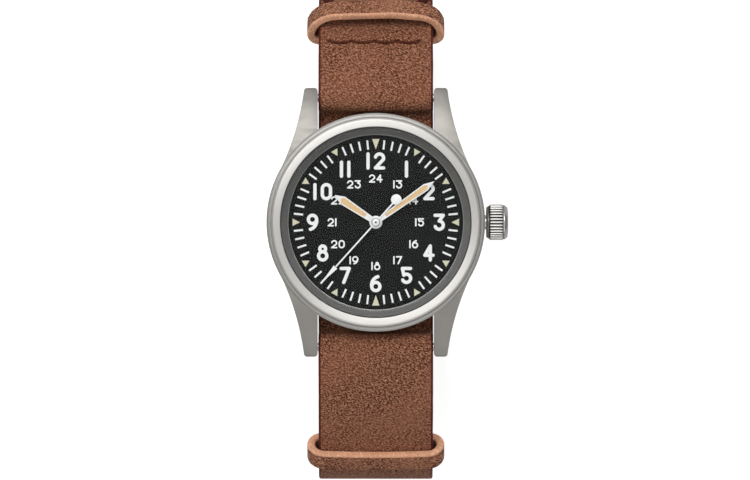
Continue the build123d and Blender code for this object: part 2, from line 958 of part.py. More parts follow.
def make_crown_seal():
    seal = rod(tube_r + gasket_w, seal_x0 + fit_gap, seal_x0 + seal_len - fit_gap, 0, crown_z)
    return seal - rod(tube_r + fit_gap, seal_x0 - cut_over, seal_x0 + seal_len + cut_over, 0, crown_z)


# Wheels and pinions


def gear(teeth, module, low, high, at, phase):
    """Toothed disc with one tooth pointing in the direction called its phase."""
    pitch_r = module * teeth / 2
    root = pitch_r - dedendum_share * module
    tip = pitch_r + addendum_share * module
    step = full_turn / teeth
    points = []
    for index in range(teeth):
        middle = phase + index * step
        points.append(polar(root, middle - tooth_share * step))
        points.append(polar(tip, middle - tooth_tip_share * step))
        points.append(polar(tip, middle + tooth_tip_share * step))
        points.append(polar(root, middle + tooth_share * step))
    moved = [(x + at[0], y + at[1]) for x, y in points]
    return plate(moved, low, high)


def meshed(phase, teeth, next_teeth, direction):
    """Phase of the next gear, whose arbor stands in this direction from the first one."""
    carried = (phase - direction) * teeth / next_teeth
    return direction + half_turn - carried + half_turn / next_teeth


def spoked(wheel, outer, inner, low, high, at, spokes, width):
    """Wheel with its web cut away between straight spokes."""
    window = ring(outer, inner, low, high, at)
    spoke = block(0, outer, -width / 2, width / 2, low, high)
    for index in range(spokes):
        window = window - Pos(at[0], at[1], 0) * Rot(0, 0, full_turn / spokes * index) * spoke
    return wheel - window


# Gear train layout


barrel_at_r = train_module * (barrel_teeth + centre_pinion_teeth) / 2
third_at_r = centre_module * (centre_teeth + third_pinion_teeth) / 2
third_module = 2 * third_at_r / (third_teeth + fourth_pinion_teeth)
escape_at_r = fourth_module * (fourth_teeth + escape_pinion_teeth) / 2
minute_wheel_at_r = motion_module * (cannon_teeth + minute_wheel_teeth) / 2
hour_wheel_teeth = 4 * minute_pinion_teeth
hour_module = 2 * minute_wheel_at_r / (minute_pinion_teeth + hour_wheel_teeth)
barrel_at = polar(barrel_at_r, barrel_angle)
third_at = polar(third_at_r, third_angle)
escape_at = polar(escape_at_r, escape_angle)
balance_at = polar(balance_at_r, balance_angle)
minute_wheel_at = polar(minute_wheel_at_r, minute_wheel_angle)
centre = (0, 0)
crown_wheel_at = (crown_wheel_x, 0)
centre_pinion_phase = meshed(0, barrel_teeth, centre_pinion_teeth, barrel_angle + half_turn)
third_pinion_phase = meshed(0, centre_teeth, third_pinion_teeth, third_angle)
fourth_pinion_phase = meshed(0, third_teeth, fourth_pinion_teeth, third_angle + half_turn)
escape_pinion_phase = meshed(0, fourth_teeth, escape_pinion_teeth, escape_angle)
minute_wheel_phase = meshed(0, cannon_teeth, minute_wheel_teeth, minute_wheel_angle)
hour_wheel_phase = meshed(0, minute_pinion_teeth, hour_wheel_teeth, minute_wheel_angle + half_turn)
ratchet_way = math.degrees(math.atan2(-barrel_at[1], crown_wheel_x - barrel_at[0]))
crown_wheel_phase = meshed(0, ratchet_teeth, crown_wheel_teeth, ratchet_way)
bridge_top = move_low + bridge_t
train_jewel_z = bridge_top - jewel_t
escape_pinion_low = bridge_top + run_gap
winding_pinion_r = crown_z - contrate_low + winding_bite
stem_well_r = winding_pinion_r + 3 * run_gap


def make_barrel():
    """Drum with the great wheel's teeth, its cover and the arbor's two holes."""
    drum = disc(barrel_r, barrel_drum_low, barrel_drum_top, barrel_at)
    drum = drum + gear(barrel_teeth, train_module, train_low, train_top, barrel_at, 0)
    hollow_r = barrel_r - 2 * wheel_t
    drum = drum - disc(hollow_r, barrel_drum_low + wheel_t, barrel_drum_top - wheel_t, barrel_at)
    return drum - disc(arbor_r + run_gap, barrel_drum_low - cut_over, barrel_drum_top + cut_over, barrel_at)


def make_barrel_arbor():
    inside = wheel_t + run_gap
    core = disc(3 * arbor_r, barrel_drum_low + inside, barrel_drum_top - inside, barrel_at)
    return core + disc(arbor_r, ratchet_low, web_top - run_gap, barrel_at)


def spiral(turns, inner, outer, wire, low, high, at):
    """Flat wound strip, as one unbroken ribbon."""
    steps = turns * spiral_points
    near = []
    far = []
    for index in range(steps + 1):
        radius = inner + (outer - inner) * index / steps
        angle = full_turn / spiral_points * index
        near.append(polar(radius - wire / 2, angle))
        far.append(polar(radius + wire / 2, angle))
    near_line = Spline([(at[0] + x, at[1] + y, low) for x, y in near])
    far_line = Spline([(at[0] + x, at[1] + y, low) for x, y in far])
    start = Line(near_line @ 0, far_line @ 0)
    end = Line(near_line @ 1, far_line @ 1)
    return extrude(make_face(near_line + far_line + start + end), high - low, dir=(0, 0, 1))


def make_mainspring():
    outer = barrel_r - 2 * wheel_t - main_wire
    return spiral(main_turns, 3 * arbor_r + main_wire, outer, main_wire,
                  barrel_drum_low + 2 * wheel_t, barrel_drum_top - 2 * wheel_t, barrel_at)


def make_ratchet():
    wheel = gear(ratchet_teeth, wind_module, ratchet_low, ratchet_low + ratchet_t, barrel_at, 0)
    return wheel - disc(arbor_r + fit_gap, 0, crystal_low, barrel_at)


def make_crown_wheel():
    """Flat wheel in mesh with the ratchet, with face teeth for the winding pinion."""
    wheel_r = wind_module * crown_wheel_teeth / 2
    low = ratchet_low
    wheel = gear(crown_wheel_teeth, wind_module, low, low + ratchet_t, crown_wheel_at, crown_wheel_phase)
    tooth = block(wheel_r - contrate_w, wheel_r - run_gap, -wind_module / 2, wind_module / 2,
                  low + ratchet_t - run_gap, contrate_low)
    for index in range(crown_wheel_teeth):
        turn = Rot(0, 0, full_turn / crown_wheel_teeth * (index + 1 / 2))
        wheel = wheel + Pos(crown_wheel_x, 0, 0) * turn * tooth
    return wheel - disc(arbor_r + jewel_r + run_gap, 0, crystal_low, crown_wheel_at)


def x_gear(teeth, outer, x0, x1):
    """Small toothed wheel on the stem's axis."""
    module = outer / (teeth / 2 + addendum_share)
    flat = gear(teeth, module, 0, x1 - x0, centre, 0)
    return Plane(origin=(x0, 0, crown_z), x_dir=(0, 1, 0), z_dir=(1, 0, 0)) * flat


def make_winding_pinion():
    pinion = x_gear(winding_pinion_teeth, winding_pinion_r, winding_pinion_x0, winding_pinion_x1)
    return pinion - rod(stem_r + run_gap, clutch_x0, winding_pinion_x1 + cut_over, 0, crown_z)


def make_clutch():
    clutch = rod(clutch_r, clutch_x0, winding_pinion_x0 - run_gap, 0, crown_z)
    middle = (clutch_x0 + winding_pinion_x0) / 2
    groove = rod(clutch_r + cut_over, middle - clutch_groove, middle + clutch_groove, 0, crown_z)
    groove = groove - rod(clutch_r - clutch_groove, clutch_x0, winding_pinion_x0, 0, crown_z)
    bore = rod(stem_r + run_gap, clutch_x0 - cut_over, winding_pinion_x0 + cut_over, 0, crown_z)
    return clutch - groove - bore


def make_stem():
    return rod(stem_r, stem_end_x, stem_x1 - fit_gap, 0, crown_z)


def make_centre_wheel():
    """Wheel and pinion on the hollow centre arbor, which carries the minute hand."""
    low = centre_wheel_low
    wheel = gear(centre_teeth, centre_module, low, low + wheel_t, centre, 0)
    rim = centre_module * centre_teeth / 2 - 4 * centre_module
    wheel = spoked(wheel, rim, 2 * centre_tube_r, low, low + wheel_t, centre, train_spokes, 3 * wheel_t)
    pinion = gear(centre_pinion_teeth, train_module, train_low - run_gap, train_top + run_gap, centre,
                  centre_pinion_phase)
    tube = disc(centre_tube_r, low, minute_hand_z, centre)
    return wheel + pinion + tube - disc(centre_tube_bore_r, 0, crystal_low, centre)


def make_third_wheel():
    low = third_wheel_low
    wheel = gear(third_teeth, third_module, low, low + wheel_t, third_at, 0)
    rim = third_module * third_teeth / 2 - 4 * third_module
    wheel = spoked(wheel, rim, 3 * arbor_r, low, low + wheel_t, third_at, train_spokes, 3 * wheel_t)
    pinion = gear(third_pinion_teeth, centre_module, low + wheel_t, centre_wheel_low + 2 * wheel_t, third_at,
                  third_pinion_phase)
    return wheel + pinion + arbor(third_at, web_low)


def arbor(at, top):
    """Thin shaft between a jewel in the train bridge and the main plate."""
    shaft = disc(arbor_r, bridge_top + run_gap, top - run_gap, at)
    return shaft + disc(pivot_r, train_jewel_z, top + jewel_t, at)


def make_fourth_wheel():
    low = fourth_wheel_low
    wheel = gear(fourth_teeth, fourth_module, low, low + wheel_t, centre, 0)
    rim = fourth_module * fourth_teeth / 2 - 4 * fourth_module
    wheel = spoked(wheel, rim, 3 * arbor_r, low, low + wheel_t, centre, train_spokes, 3 * wheel_t)
    pinion = gear(fourth_pinion_teeth, third_module, low, centre_wheel_low - run_gap, centre,
                  fourth_pinion_phase)
    shaft = disc(centre_tube_bore_r - run_gap, train_jewel_z, second_hand_z + hand_t, centre)
    return wheel + pinion + shaft


def make_escape_wheel():
    """Club-toothed wheel and its pinion."""
    points = []
    step = full_turn / escape_teeth
    for index in range(escape_teeth):
        start = index * step
        points.append(polar(escape_root_r, start))
        points.append(polar(escape_r, start + step / 3))
        points.append(polar(escape_r, start + step / 2))
        points.append(polar(escape_root_r, start + step / 2))
    moved = [(x + escape_at[0], y + escape_at[1]) for x, y in points]
    high = escape_low + wheel_t
    wheel = plate(moved, escape_low, high)
    rim = escape_root_r - 2 * wheel_t
    wheel = spoked(wheel, rim, 2 * arbor_r, escape_low, high, escape_at, escape_spokes, 2 * wheel_t)
    pinion = gear(escape_pinion_teeth, fourth_module, escape_pinion_low, third_wheel_low - run_gap,
                  escape_at, escape_pinion_phase)
    return wheel + pinion + arbor(escape_at, web_low)


fork_way = math.degrees(math.atan2(balance_at[1] - escape_at[1], balance_at[0] - escape_at[0]))
fork_reach = escape_r + stone_len
fork_at = tuple(escape_at[i] + polar(fork_reach, fork_way)[i] for i in range(2))
fork_len = math.hypot(balance_at[0] - fork_at[0], balance_at[1] - fork_at[1]) - roller_r - fork_horn


def make_pallet_fork():
    """Lever with two jewelled arms beside the escape wheel and a notch for the balance's pin."""
    high = fork_low + fork_t
    lever = block(0, fork_len, -fork_arm_w / 2, fork_arm_w / 2, fork_low, high)
    for side in (1, -1):
        horn = block(fork_len - fork_horn, fork_len + fork_horn, side * impulse_r * 2 - fork_arm_w / 4,
                     side * impulse_r * 2 + fork_arm_w / 4, fork_low, high)
        arm = block(0, escape_r * pallet_arm_share, -fork_arm_w / 2, fork_arm_w / 2, fork_low, high)
        stone = block(0, stone_len, -stone_w / 2, stone_w / 2, fork_low, high)
        end = polar(escape_r * pallet_arm_share, side * pallet_arm_turn)
        aim = math.degrees(math.atan2(-end[1], -fork_reach - end[0]))
        lever = lever + horn + Rot(0, 0, side * pallet_arm_turn) * arm
        lever = lever + Pos(end[0], end[1], 0) * Rot(0, 0, aim) * stone
    lever = lever + disc(2 * arbor_r, fork_low, high)
    pin = disc(pivot_r, fork_bridge_low, web_low + jewel_t)
    turn = Pos(fork_at[0], fork_at[1], 0) * Rot(0, 0, fork_way)
    return turn * (lever + pin)


def make_balance():
    """Rim, arms, staff, roller and impulse pin."""
    low = balance_low
    high = low + balance_rim_t
    wheel = ring(balance_r, balance_r - balance_rim_w, low, high)
    reach = balance_r - balance_rim_w / 2
    arm = block(-reach, reach, -wheel_t, wheel_t, low, low + wheel_t)
    staff = disc(arbor_r, bridge_top + run_gap, web_low - run_gap)
    staff = staff + disc(pivot_r, train_jewel_z, web_low + jewel_t)
    roller = disc(roller_r, roller_low, roller_low + wheel_t)
    pin_at = polar(roller_r - 2 * impulse_r, fork_way + half_turn)
    pin = disc(impulse_r, roller_low, fork_low + fork_t, pin_at)
    return Pos(balance_at[0], balance_at[1], 0) * (wheel + arm + staff + roller + pin)


def make_hairspring():
    inner = arbor_r + hair_wire
    return spiral(hair_turns, inner, hair_r, hair_wire, hair_low, hair_low + hair_t, balance_at)


def make_cannon_pinion():
    teeth = gear(cannon_teeth, motion_module, motion_low, motion_low + motion_t + run_gap, centre, 0)
    tube = disc(cannon_r, motion_low, minute_hand_z + hand_t, centre)
    return teeth + tube - disc(centre_tube_r + fit_gap, 0, crystal_low, centre)


def make_minute_wheel():
    wheel = gear(minute_wheel_teeth, motion_module, motion_low, motion_low + motion_t, minute_wheel_at,
                 minute_wheel_phase)
    pinion = gear(minute_pinion_teeth, hour_module, motion_low, dial_low - 2 * run_gap, minute_wheel_at, 0)
    return wheel + pinion - disc(arbor_r + run_gap, 0, crystal_low, minute_wheel_at)


def make_hour_wheel():
    low = motion_low + motion_t + 2 * run_gap
    wheel = gear(hour_wheel_teeth, hour_module, low, low + wheel_t, centre, hour_wheel_phase)
    tube = disc(hour_tube_r, low, hour_hand_z + hand_t, centre)
    return wheel + tube - disc(cannon_r + run_gap, 0, crystal_low, centre)


# Plate and bridges


def sector(start, stop, low, high):
    """Part of the movement's round between two directions, split off the whole disc."""
    reach = 2 * move_r
    points = [(0, 0)]
    for index in range(sector_steps + 1):
        points.append(polar(reach, start + (stop - start) * index / sector_steps))
    return plate(points, low, high) & disc(move_r, low, high)


def make_main_plate():
    """Web and outer wall, with wells for the barrel, the stem and the motion works."""
    body = disc(move_r, wall_top, dial_low - run_gap)
    body = body - disc(wall_in_r, wall_top - cut_over, web_low)
    motion_r = minute_wheel_at_r + motion_module * (minute_wheel_teeth / 2 + 2)
    body = body - disc(motion_r, web_top, dial_low + cut_over)
    top_r = minute_wheel_at_r / 2
    body = body - ring(wall_in_r - top_r / 2, motion_r + top_r / 2, web_top + run_gap, dial_low + cut_over)
    body = body - disc(centre_tube_r + run_gap, web_low - cut_over, dial_low, centre)
    well = rod(stem_well_r, stem_end_x, winding_pinion_x1 + 2 * run_gap, 0, crown_z)
    body = body - well - rod(stem_r + run_gap, stem_end_x, move_r + cut_over, 0, crown_z)
    for at in (third_at, escape_at, fork_at, balance_at):
        body = body - disc(pivot_r + run_gap, web_low - cut_over, dial_low, at)
    body = body - disc(arbor_r + run_gap, web_low - cut_over, dial_low, barrel_at)
    return body + disc(arbor_r, web_low, dial_low - 2 * run_gap, minute_wheel_at)


def bridge(start, stop, low):
    """Flat bridge over the train, standing on the plate's wall."""
    body = sector(start, stop, low, wall_top)
    return body - disc(wall_in_r, low + bridge_t, wall_top + cut_over)


def make_barrel_bridge():
    body = sector(barrel_bridge_from, barrel_bridge_to - bridge_split, barrel_bridge_low, wall_top)
    wheel_r = fourth_module * (fourth_teeth / 2 + 1)
    body = body - disc(wheel_r + run_gap, 0, crystal_low, centre)
    body = body - disc(arbor_r + run_gap, 0, crystal_low, barrel_at)
    wheel_r = wind_module * (crown_wheel_teeth / 2 + 1)
    recess_in = wheel_r - contrate_w - 3 * wind_module
    recess = ring(wheel_r, recess_in, 0, contrate_low + 2 * run_gap, crown_wheel_at)
    body = body - recess - rod(stem_well_r, stem_end_x, winding_pinion_x1 + 2 * run_gap, 0, crown_z)
    return body + disc(arbor_r + jewel_r, ratchet_low, wall_top, crown_wheel_at)


def make_train_bridge():
    body = bridge(barrel_bridge_to + bridge_split, train_bridge_to - bridge_split, move_low)
    body = body + disc(2 * jewel_r, move_low, bridge_top, centre)
    for at in (third_at, centre, escape_at):
        body = body - disc(jewel_r + fit_gap, 0, bridge_top + cut_over, at)
    return body


def make_balance_cock():
    stop = barrel_bridge_from + full_turn - bridge_split
    body = bridge(train_bridge_to + bridge_split, stop, move_low)
    body = body - disc(2 * jewel_r + 2 * bridge_split, 0, wall_top + cut_over, centre)
    return body - disc(jewel_r + fit_gap, 0, bridge_top + cut_over, balance_at)


def make_pallet_bridge():
    """Small bridge over the lever's pivot, on two feet."""
    half = fork_bridge_half
    wide = fork_bridge_w / 2
    top = block(-wide / 2, wide / 2, -half, half, fork_bridge_low, fork_bridge_low + fork_bridge_t)
    for side in (1, -1):
        top = top + disc(wide / 2, fork_bridge_low, web_low, (0, side * half))
    top = top - disc(pivot_r + run_gap, 0, crystal_low)
    return Pos(fork_at[0], fork_at[1], 0) * Rot(0, 0, fork_way) * top


def make_jewels():
    result = []
    for at in (third_at, centre, escape_at, balance_at):
        hole = centre_tube_bore_r if at == centre else pivot_r + run_gap
        result.append(ring(jewel_r, hole, move_low, bridge_top - run_gap, at))
    return result


def make_movement_screws():
    """Slotted screw heads on the bridges' feet."""
    result = []
    for turn in barrel_screws_at + train_screws_at:
        at = polar(screw_at_r, turn)
        low = barrel_bridge_low if turn in barrel_screws_at else move_low
        head = disc(screw_r, low - screw_t, low, at)
        slot = block(at[0] - screw_r, at[0] + screw_r, at[1] - slot_w / 2, at[1] + slot_w / 2,
                     low - screw_t - cut_over, low - screw_t + slot_t)
        result.append(head - slot)
    return result


def make_movement_ring():
    outer = case_bore_r - head_gap
    body = ring(outer, move_r + head_gap, move_ring_low, dial_low - run_gap)
    return body - rod(stem_r + 3 * run_gap, 0, case_r, 0, crown_z)


# Dial


def glyph(digit, width, height, stroke):
    """Centre lines of one numeral, standing upright round its own middle."""
    hw = (width - stroke) / 2
    hh = (height - stroke) / 2
    low = -hh + hw
    if digit == "1":
        return [Line((0, -hh), (0, hh))]
    if digit == "0":
        sides = [Line((x, low), (x, -low)) for x in (-hw, hw)]
        return sides + [CenterArc((0, -low), hw, 0, half_turn), CenterArc((0, low), hw, half_turn, half_turn)]
    if digit == "2":
        top = CenterArc((0, -low), hw, two_from, two_sweep)
        return [top, Line(top @ 0, (-hw, -hh)), Line((-hw, -hh), (hw, -hh))]
    if digit == "3":
        bowl = CenterArc((0, low), hw, three_from, three_sweep)
        return [Line((-hw, hh), (hw, hh)), Line((hw, hh), bowl @ 1), bowl]
    if digit == "4":
        foot = hw / 3
        bar = -hh / 3
        post = Line((foot, -hh), (foot, hh))
        return [post, Line((foot, hh), (-hw, bar)), Line((-hw, bar), (hw, bar))]
    if digit == "5":
        bowl = CenterArc((0, low), hw, five_from, five_sweep)
        return [Line((hw, hh), (-hw, hh)), Line((-hw, hh), bowl @ 1), bowl]
    if digit == "6":
        tail = ThreePointArc((-hw, low), (-hw * 2 / 3, hh / 2), (hw / 2, hh))
        return [CenterArc((0, low), hw, 0, full_turn), tail]
    if digit == "7":
        return [Line((-hw, hh), (hw, hh)), Line((hw, hh), (-hw / 3, -hh))]
    if digit == "8":
        small = hh - hw
        return [CenterArc((0, low), hw, 0, full_turn), CenterArc((0, hh - small), small, 0, full_turn)]
    return [Rot(0, 0, half_turn) * line for line in glyph("6", width, height, stroke)]


def stroke_face(line, stroke):
    """Flat band along a straight line or a round arc, with round ends."""
    start, middle, end = line @ 0, line @ 0.5, line @ 1
    half = stroke / 2
    if line.geom_type == GeomType.LINE:
        way = math.degrees(math.atan2(end.Y - start.Y, end.X - start.X))
        return Pos(middle.X, middle.Y) * Rot(0, 0, way) * SlotCenterToCenter(line.length, stroke)
    hub = line.arc_center
    radius = (start - hub).length
    if (end - start).length < half / 2:
        return Pos(hub.X, hub.Y) * (Circle(radius + half) - Circle(radius - half))
    outer = [hub + (point - hub) * ((radius + half) / radius) for point in (start, middle, end)]
    inner = [hub + (point - hub) * ((radius - half) / radius) for point in (start, middle, end)]
    caps = Line(outer[0], inner[0]) + Line(outer[2], inner[2])
    band = make_face(ThreePointArc(*outer) + ThreePointArc(*inner) + caps)
    return band + Pos(start.X, start.Y) * Circle(half) + Pos(end.X, end.Y) * Circle(half)


def number(value, width, height, stroke, space):
    """Whole number as one flat shape, centred on its own middle."""
    digits = str(value)
    widths = [stroke if digit == "1" else width for digit in digits]
    left = -(sum(widths) + space * (len(digits) - 1)) / 2
    shape = None
    for digit, wide in zip(digits, widths):
        for line in glyph(digit, width, height, stroke):
            face = Pos(left + wide / 2, 0) * stroke_face(line, stroke)
            shape = face if shape is None else shape + face
        left += wide + space
    return shape


def printed(shape, at):
    """Thin layer of print on the dial."""
    return Pos(at[0], at[1], dial_top) * extrude(shape, print_t)


def make_dial():
    return ring(dial_r, centre_hole_r, dial_low, dial_top)


def make_dial_print():
    """Minute ticks, the hours and the smaller afternoon hours."""
    result = []
    tick = block(-tick_w / 2, tick_w / 2, tick_r0, tick_r1, dial_top, dial_top + print_t)
    for minute in range(minutes_per_turn):
        if minute % 5:
            result.append(Rot(0, 0, -full_turn / minutes_per_turn * minute) * tick)
    for hour in range(1, hours_per_turn + 1):
        turn = full_turn / hours_per_turn * hour
        out = dial_r - (hour_digit_side_in if hour in (3, 9) else hour_digit_in)
        big = number(hour, hour_digit_w, hour_digit_h, hour_stroke, digit_space)
        result.append(printed(big, clock(out, turn)))
        small = number(hour + hours_per_turn, inner_digit_w, inner_digit_h, inner_stroke, inner_space)
        result.append(printed(small, clock(dial_r - inner_digit_in, turn)))
    return result


def make_hour_plots():
    """Luminous triangles that point inwards from the edge of the dial."""
    result = []
    for hour in range(hours_per_turn):
        height = plot_h
        if hour % 6 == 0:
            height = plot_main_h
        elif hour % 3 == 0:
            height = plot_side_h
        points = [(-plot_w / 2, plot_r), (plot_w / 2, plot_r), (0, plot_r - height)]
        plot = plate(points, dial_top, dial_top + lume_t)
        result.append(Rot(0, 0, -full_turn / hours_per_turn * hour) * plot)
    return result


# Hands


def hand_outline(tip, wide_r, wide, root):
    return [(-root / 2, 0), (-wide / 2, wide_r), (0, tip), (wide / 2, wide_r), (root / 2, 0)]


def hand_window(tip, wide_r, wide, root):
    """Opening of a hand, one frame's width inside its outline."""
    start = hand_lume_r0
    inner_root = root + (wide - root) * start / wide_r - 2 * hand_frame
    inner_wide = wide - 2 * hand_frame
    reach = wide_r + (tip - wide_r) * inner_wide / wide / 3
    return [(-inner_root / 2, start), (-inner_wide / 2, wide_r), (0, reach), (inner_wide / 2, wide_r),
            (inner_root / 2, start)]


def make_framed_hand(tip, point, wide, root, hub_r, bore_r, low, angle):
    """Open hand and the luminous strip that fills it."""
    turn = Rot(0, 0, -angle)
    wide_r = tip - point
    high = low + hand_t
    hand = plate(hand_outline(tip, wide_r, wide, root), low, high) + disc(hub_r, low, high)
    window = plate(hand_window(tip, wide_r, wide, root), low - cut_over, high + cut_over)
    lume = plate(hand_window(tip, wide_r, wide, root), low, high - run_gap / 2)
    hand = hand - window - disc(bore_r + fit_gap, low - cut_over, high + cut_over)
    return turn * hand, turn * lume


def make_second_hand():
    """Thin hand with a luminous arrow at its tip and a disc at its tail."""
    turn = Rot(0, 0, -second_angle)
    second_wide_r = second_tip - second_point
    low = second_hand_z
    high = low + hand_t
    stem = block(-second_stem / 2, second_stem / 2, -second_tail, second_wide_r, low, high)
    hand = stem + disc(second_tail_r, low, high, (0, -second_tail)) + disc(second_hub_r, low, high)
    hand = hand - disc(centre_tube_bore_r - run_gap + fit_gap, low - cut_over, high + cut_over)
    hand = hand + disc(second_pin_r, high, high + second_pin_t)
    arrow_r = second_wide_r + run_gap
    lume = plate([(0, second_tip), (-second_wide / 2, arrow_r), (second_wide / 2, arrow_r)], low, high)
    return turn * hand, turn * lume


# Spring bars


def make_bar_pin(side, end):
    """Shouldered pin at one end of a spring bar."""
    tip_x0 = bar_half + pin_travel + pin_flange_t
    stem = rod(pin_stem_r, bar_half + pin_travel - pin_stem_len, tip_x0, bar_y, bar_z)
    flange = rod(bar_r, bar_half + pin_travel, tip_x0, bar_y, bar_z)
    tip = rod(pin_tip_r, bar_half + pin_travel, tip_x0 + pin_tip_len, bar_y, bar_z)
    pin = stem + flange + tip
    pin = pin if side > 0 else mirror(pin, Plane.YZ)
    return pin if end > 0 else flipped(pin)


def make_spring_bars():
    tube = rod(bar_r, -bar_half, bar_half, bar_y, bar_z)
    tube = tube - rod(bar_bore_r, -bar_half - cut_over, bar_half + cut_over, bar_y, bar_z)
    return [tube, flipped(tube)]


def make_bar_springs():
    """Spring between the two pins of each bar, drawn as a sleeve."""
    reach = bar_half + pin_travel - pin_stem_len - run_gap
    spring = rod(bar_spring_r, -reach, reach, bar_y, bar_z)
    spring = spring - rod(bar_spring_r - bar_spring_wire, -reach - cut_over, reach + cut_over, bar_y, bar_z)
    return [spring, flipped(spring)]


os.makedirs("parts", exist_ok=True)

save("main_strap", make_main_strap())
save("under_strap", make_under_strap())
for name, keeper in zip(("keeper_top", "keeper_free", "keeper_front"), make_keepers()):
    save(name, keeper)
save("stitching", *make_stitching())
for name, piece in zip(("buckle_frame", "buckle_bar", "buckle_tongue"), make_buckle()):
    save(name, piece)

save_head("case_middle", make_case_middle())
save_head("case_back", make_case_back())
save_head("back_gasket", ring(back_sleeve_r + 2 * gasket_w - fit_gap, back_sleeve_r + gasket_w + fit_gap,
                              case_low, case_low + gasket_w - fit_gap))
save_head("bezel", make_bezel())
save_head("crystal", make_crystal())
save_head("crystal_gasket", ring(seat_r, crystal_r, crystal_low, bezel_top - fit_gap))
save_head("rehaut_ring", make_rehaut())
save_head("crown", make_crown())
save_head("crown_tube", make_crown_tube())
save_head("crown_gasket", make_crown_seal())
save_head("winding_stem", make_stem())
save_head("dial", make_dial())
save_head("dial_print", *make_dial_print())
save_head("hour_plots", *make_hour_plots())

hour_hand, hour_lume = make_framed_hand(
    hour_tip, hour_point, hour_wide, hour_root, hour_hub_r, hour_tube_r, hour_hand_z, hour_angle)
minute_hand, minute_lume = make_framed_hand(
    minute_tip, minute_point, minute_wide, minute_root, minute_hub_r, cannon_r, minute_hand_z, minute_angle)
second_hand, second_lume = make_second_hand()
save_head("hour_hand", hour_hand)
save_head("hour_hand_lume", hour_lume)
save_head("minute_hand", minute_hand)
save_head("minute_hand_lume", minute_lume)
save_head("second_hand", second_hand)
save_head("second_hand_lume", second_lume)

save_head("main_plate", make_main_plate())
save_head("barrel_bridge", make_barrel_bridge())
save_head("train_bridge", make_train_bridge())
save_head("balance_cock", make_balance_cock())
save_head("movement_ring", make_movement_ring())
save_head("pallet_bridge", make_pallet_bridge())
save_head("jewels", *make_jewels())
save_head("movement_screws", *make_movement_screws())
save_head("barrel", make_barrel())
save_head("barrel_arbor", make_barrel_arbor())
save_head("mainspring", make_mainspring())
save_head("ratchet_wheel", make_ratchet())
save_head("crown_wheel", make_crown_wheel())
save_head("centre_wheel", make_centre_wheel())
save_head("third_wheel", make_third_wheel())
save_head("fourth_wheel", make_fourth_wheel())
save_head("escape_wheel", make_escape_wheel())
save_head("pallet_fork", make_pallet_fork())
save_head("balance_wheel", make_balance())
save_head("hairspring", make_hairspring())
save_head("cannon_pinion", make_cannon_pinion())
save_head("minute_wheel", make_minute_wheel())
save_head("hour_wheel", make_hour_wheel())
save_head("winding_pinion", make_winding_pinion())
save_head("clutch_wheel", make_clutch())

save_head("spring_bars", *make_spring_bars())
save_head("bar_springs", *make_bar_springs())
for end_name, end in (("top", 1), ("front", -1)):
    for side_name, side in (("right", 1), ("left", -1)):
        save_head(f"bar_pin_{end_name}_{side_name}", make_bar_pin(side, end))

print("surface under the strap to the outer face of the case back", round(back_z, 3))
print("strap's front low bend radius", round(front_low_r, 3))
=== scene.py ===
import math
import bmesh
import bpy
from mathutils import Matrix, Vector
from mathutils import noise as field


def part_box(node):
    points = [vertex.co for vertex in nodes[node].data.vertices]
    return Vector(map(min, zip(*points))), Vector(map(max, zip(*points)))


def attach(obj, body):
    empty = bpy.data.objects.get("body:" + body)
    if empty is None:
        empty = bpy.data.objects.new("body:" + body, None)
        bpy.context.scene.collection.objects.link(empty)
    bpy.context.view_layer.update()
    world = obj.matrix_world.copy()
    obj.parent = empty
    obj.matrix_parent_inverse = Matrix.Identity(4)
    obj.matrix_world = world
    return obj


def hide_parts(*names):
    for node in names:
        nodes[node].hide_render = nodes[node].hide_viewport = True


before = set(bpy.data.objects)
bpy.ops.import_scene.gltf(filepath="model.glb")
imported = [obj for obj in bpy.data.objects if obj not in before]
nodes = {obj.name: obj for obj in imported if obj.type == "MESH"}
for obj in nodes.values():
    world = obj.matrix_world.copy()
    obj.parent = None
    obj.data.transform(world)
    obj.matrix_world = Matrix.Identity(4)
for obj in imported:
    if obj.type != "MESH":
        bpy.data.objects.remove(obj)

mm = 0.001
scene = bpy.context.scene
scene.view_settings.view_transform = "Standard"
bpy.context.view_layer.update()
print("frame loaded,", len(nodes), "nodes")


# camera and studio

view = {
    "distance": 1.6,
    "frameWidth": 130.4 * mm,  # what the picture spans at the dial
    "aside": -0.14 * mm,
    "below": -3.08 * mm,
    "sensor": 36,
}
camera = bpy.data.objects.new("camera", bpy.data.cameras.new("camera"))
camera.data.sensor_width = view["sensor"]
camera.data.lens = view["sensor"] * view["distance"] / view["frameWidth"]
camera.location = (view["aside"], view["below"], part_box("dial")[1].z + view["distance"])
scene.collection.objects.link(camera)
scene.camera = camera

studio = {
    "skyDim": 0.63,
    "flagDim": 0.42,  # what metal sees low down at both sides
    "flagBand": (0.42, 0.85),
    "horizonDim": 0.15,  # a dark band that outlines the edges of metal
    "horizonBand": (0.32, 0.04),
    "frontDim": 0.2,  # plain light that comes from low down in front
    "frontBand": (-0.15, -0.9),
    "floorColour": (0.66, 0.66, 0.66, 1),
    "floorLift": 0.7,  # brings the unshaded floor up to white for the eye
    "floorHalf": 3.0,
    "lampAim": (0.0, 0.0, 0.04),
}
lamps = {
    "keyLamp": {"at": (-0.25, 0.64, 1.35), "watts": 11.5, "width": 1.5, "depth": 0.58},
    "frontLamp": {"at": (0.2, -1.1, 0.9), "watts": 0.8, "width": 1.3, "depth": 0.5},
}
for lampName, lamp in lamps.items():
    made = bpy.data.objects.new(lampName, bpy.data.lights.new(lampName, "AREA"))
    made.data.shape = "RECTANGLE"
    made.data.size, made.data.size_y = lamp["width"], lamp["depth"]
    made.data.energy = lamp["watts"]
    made.location = lamp["at"]
    aim = Vector(studio["lampAim"]) - made.location
    made.rotation_euler = aim.to_track_quat("-Z", "Y").to_euler()
    scene.collection.objects.link(made)


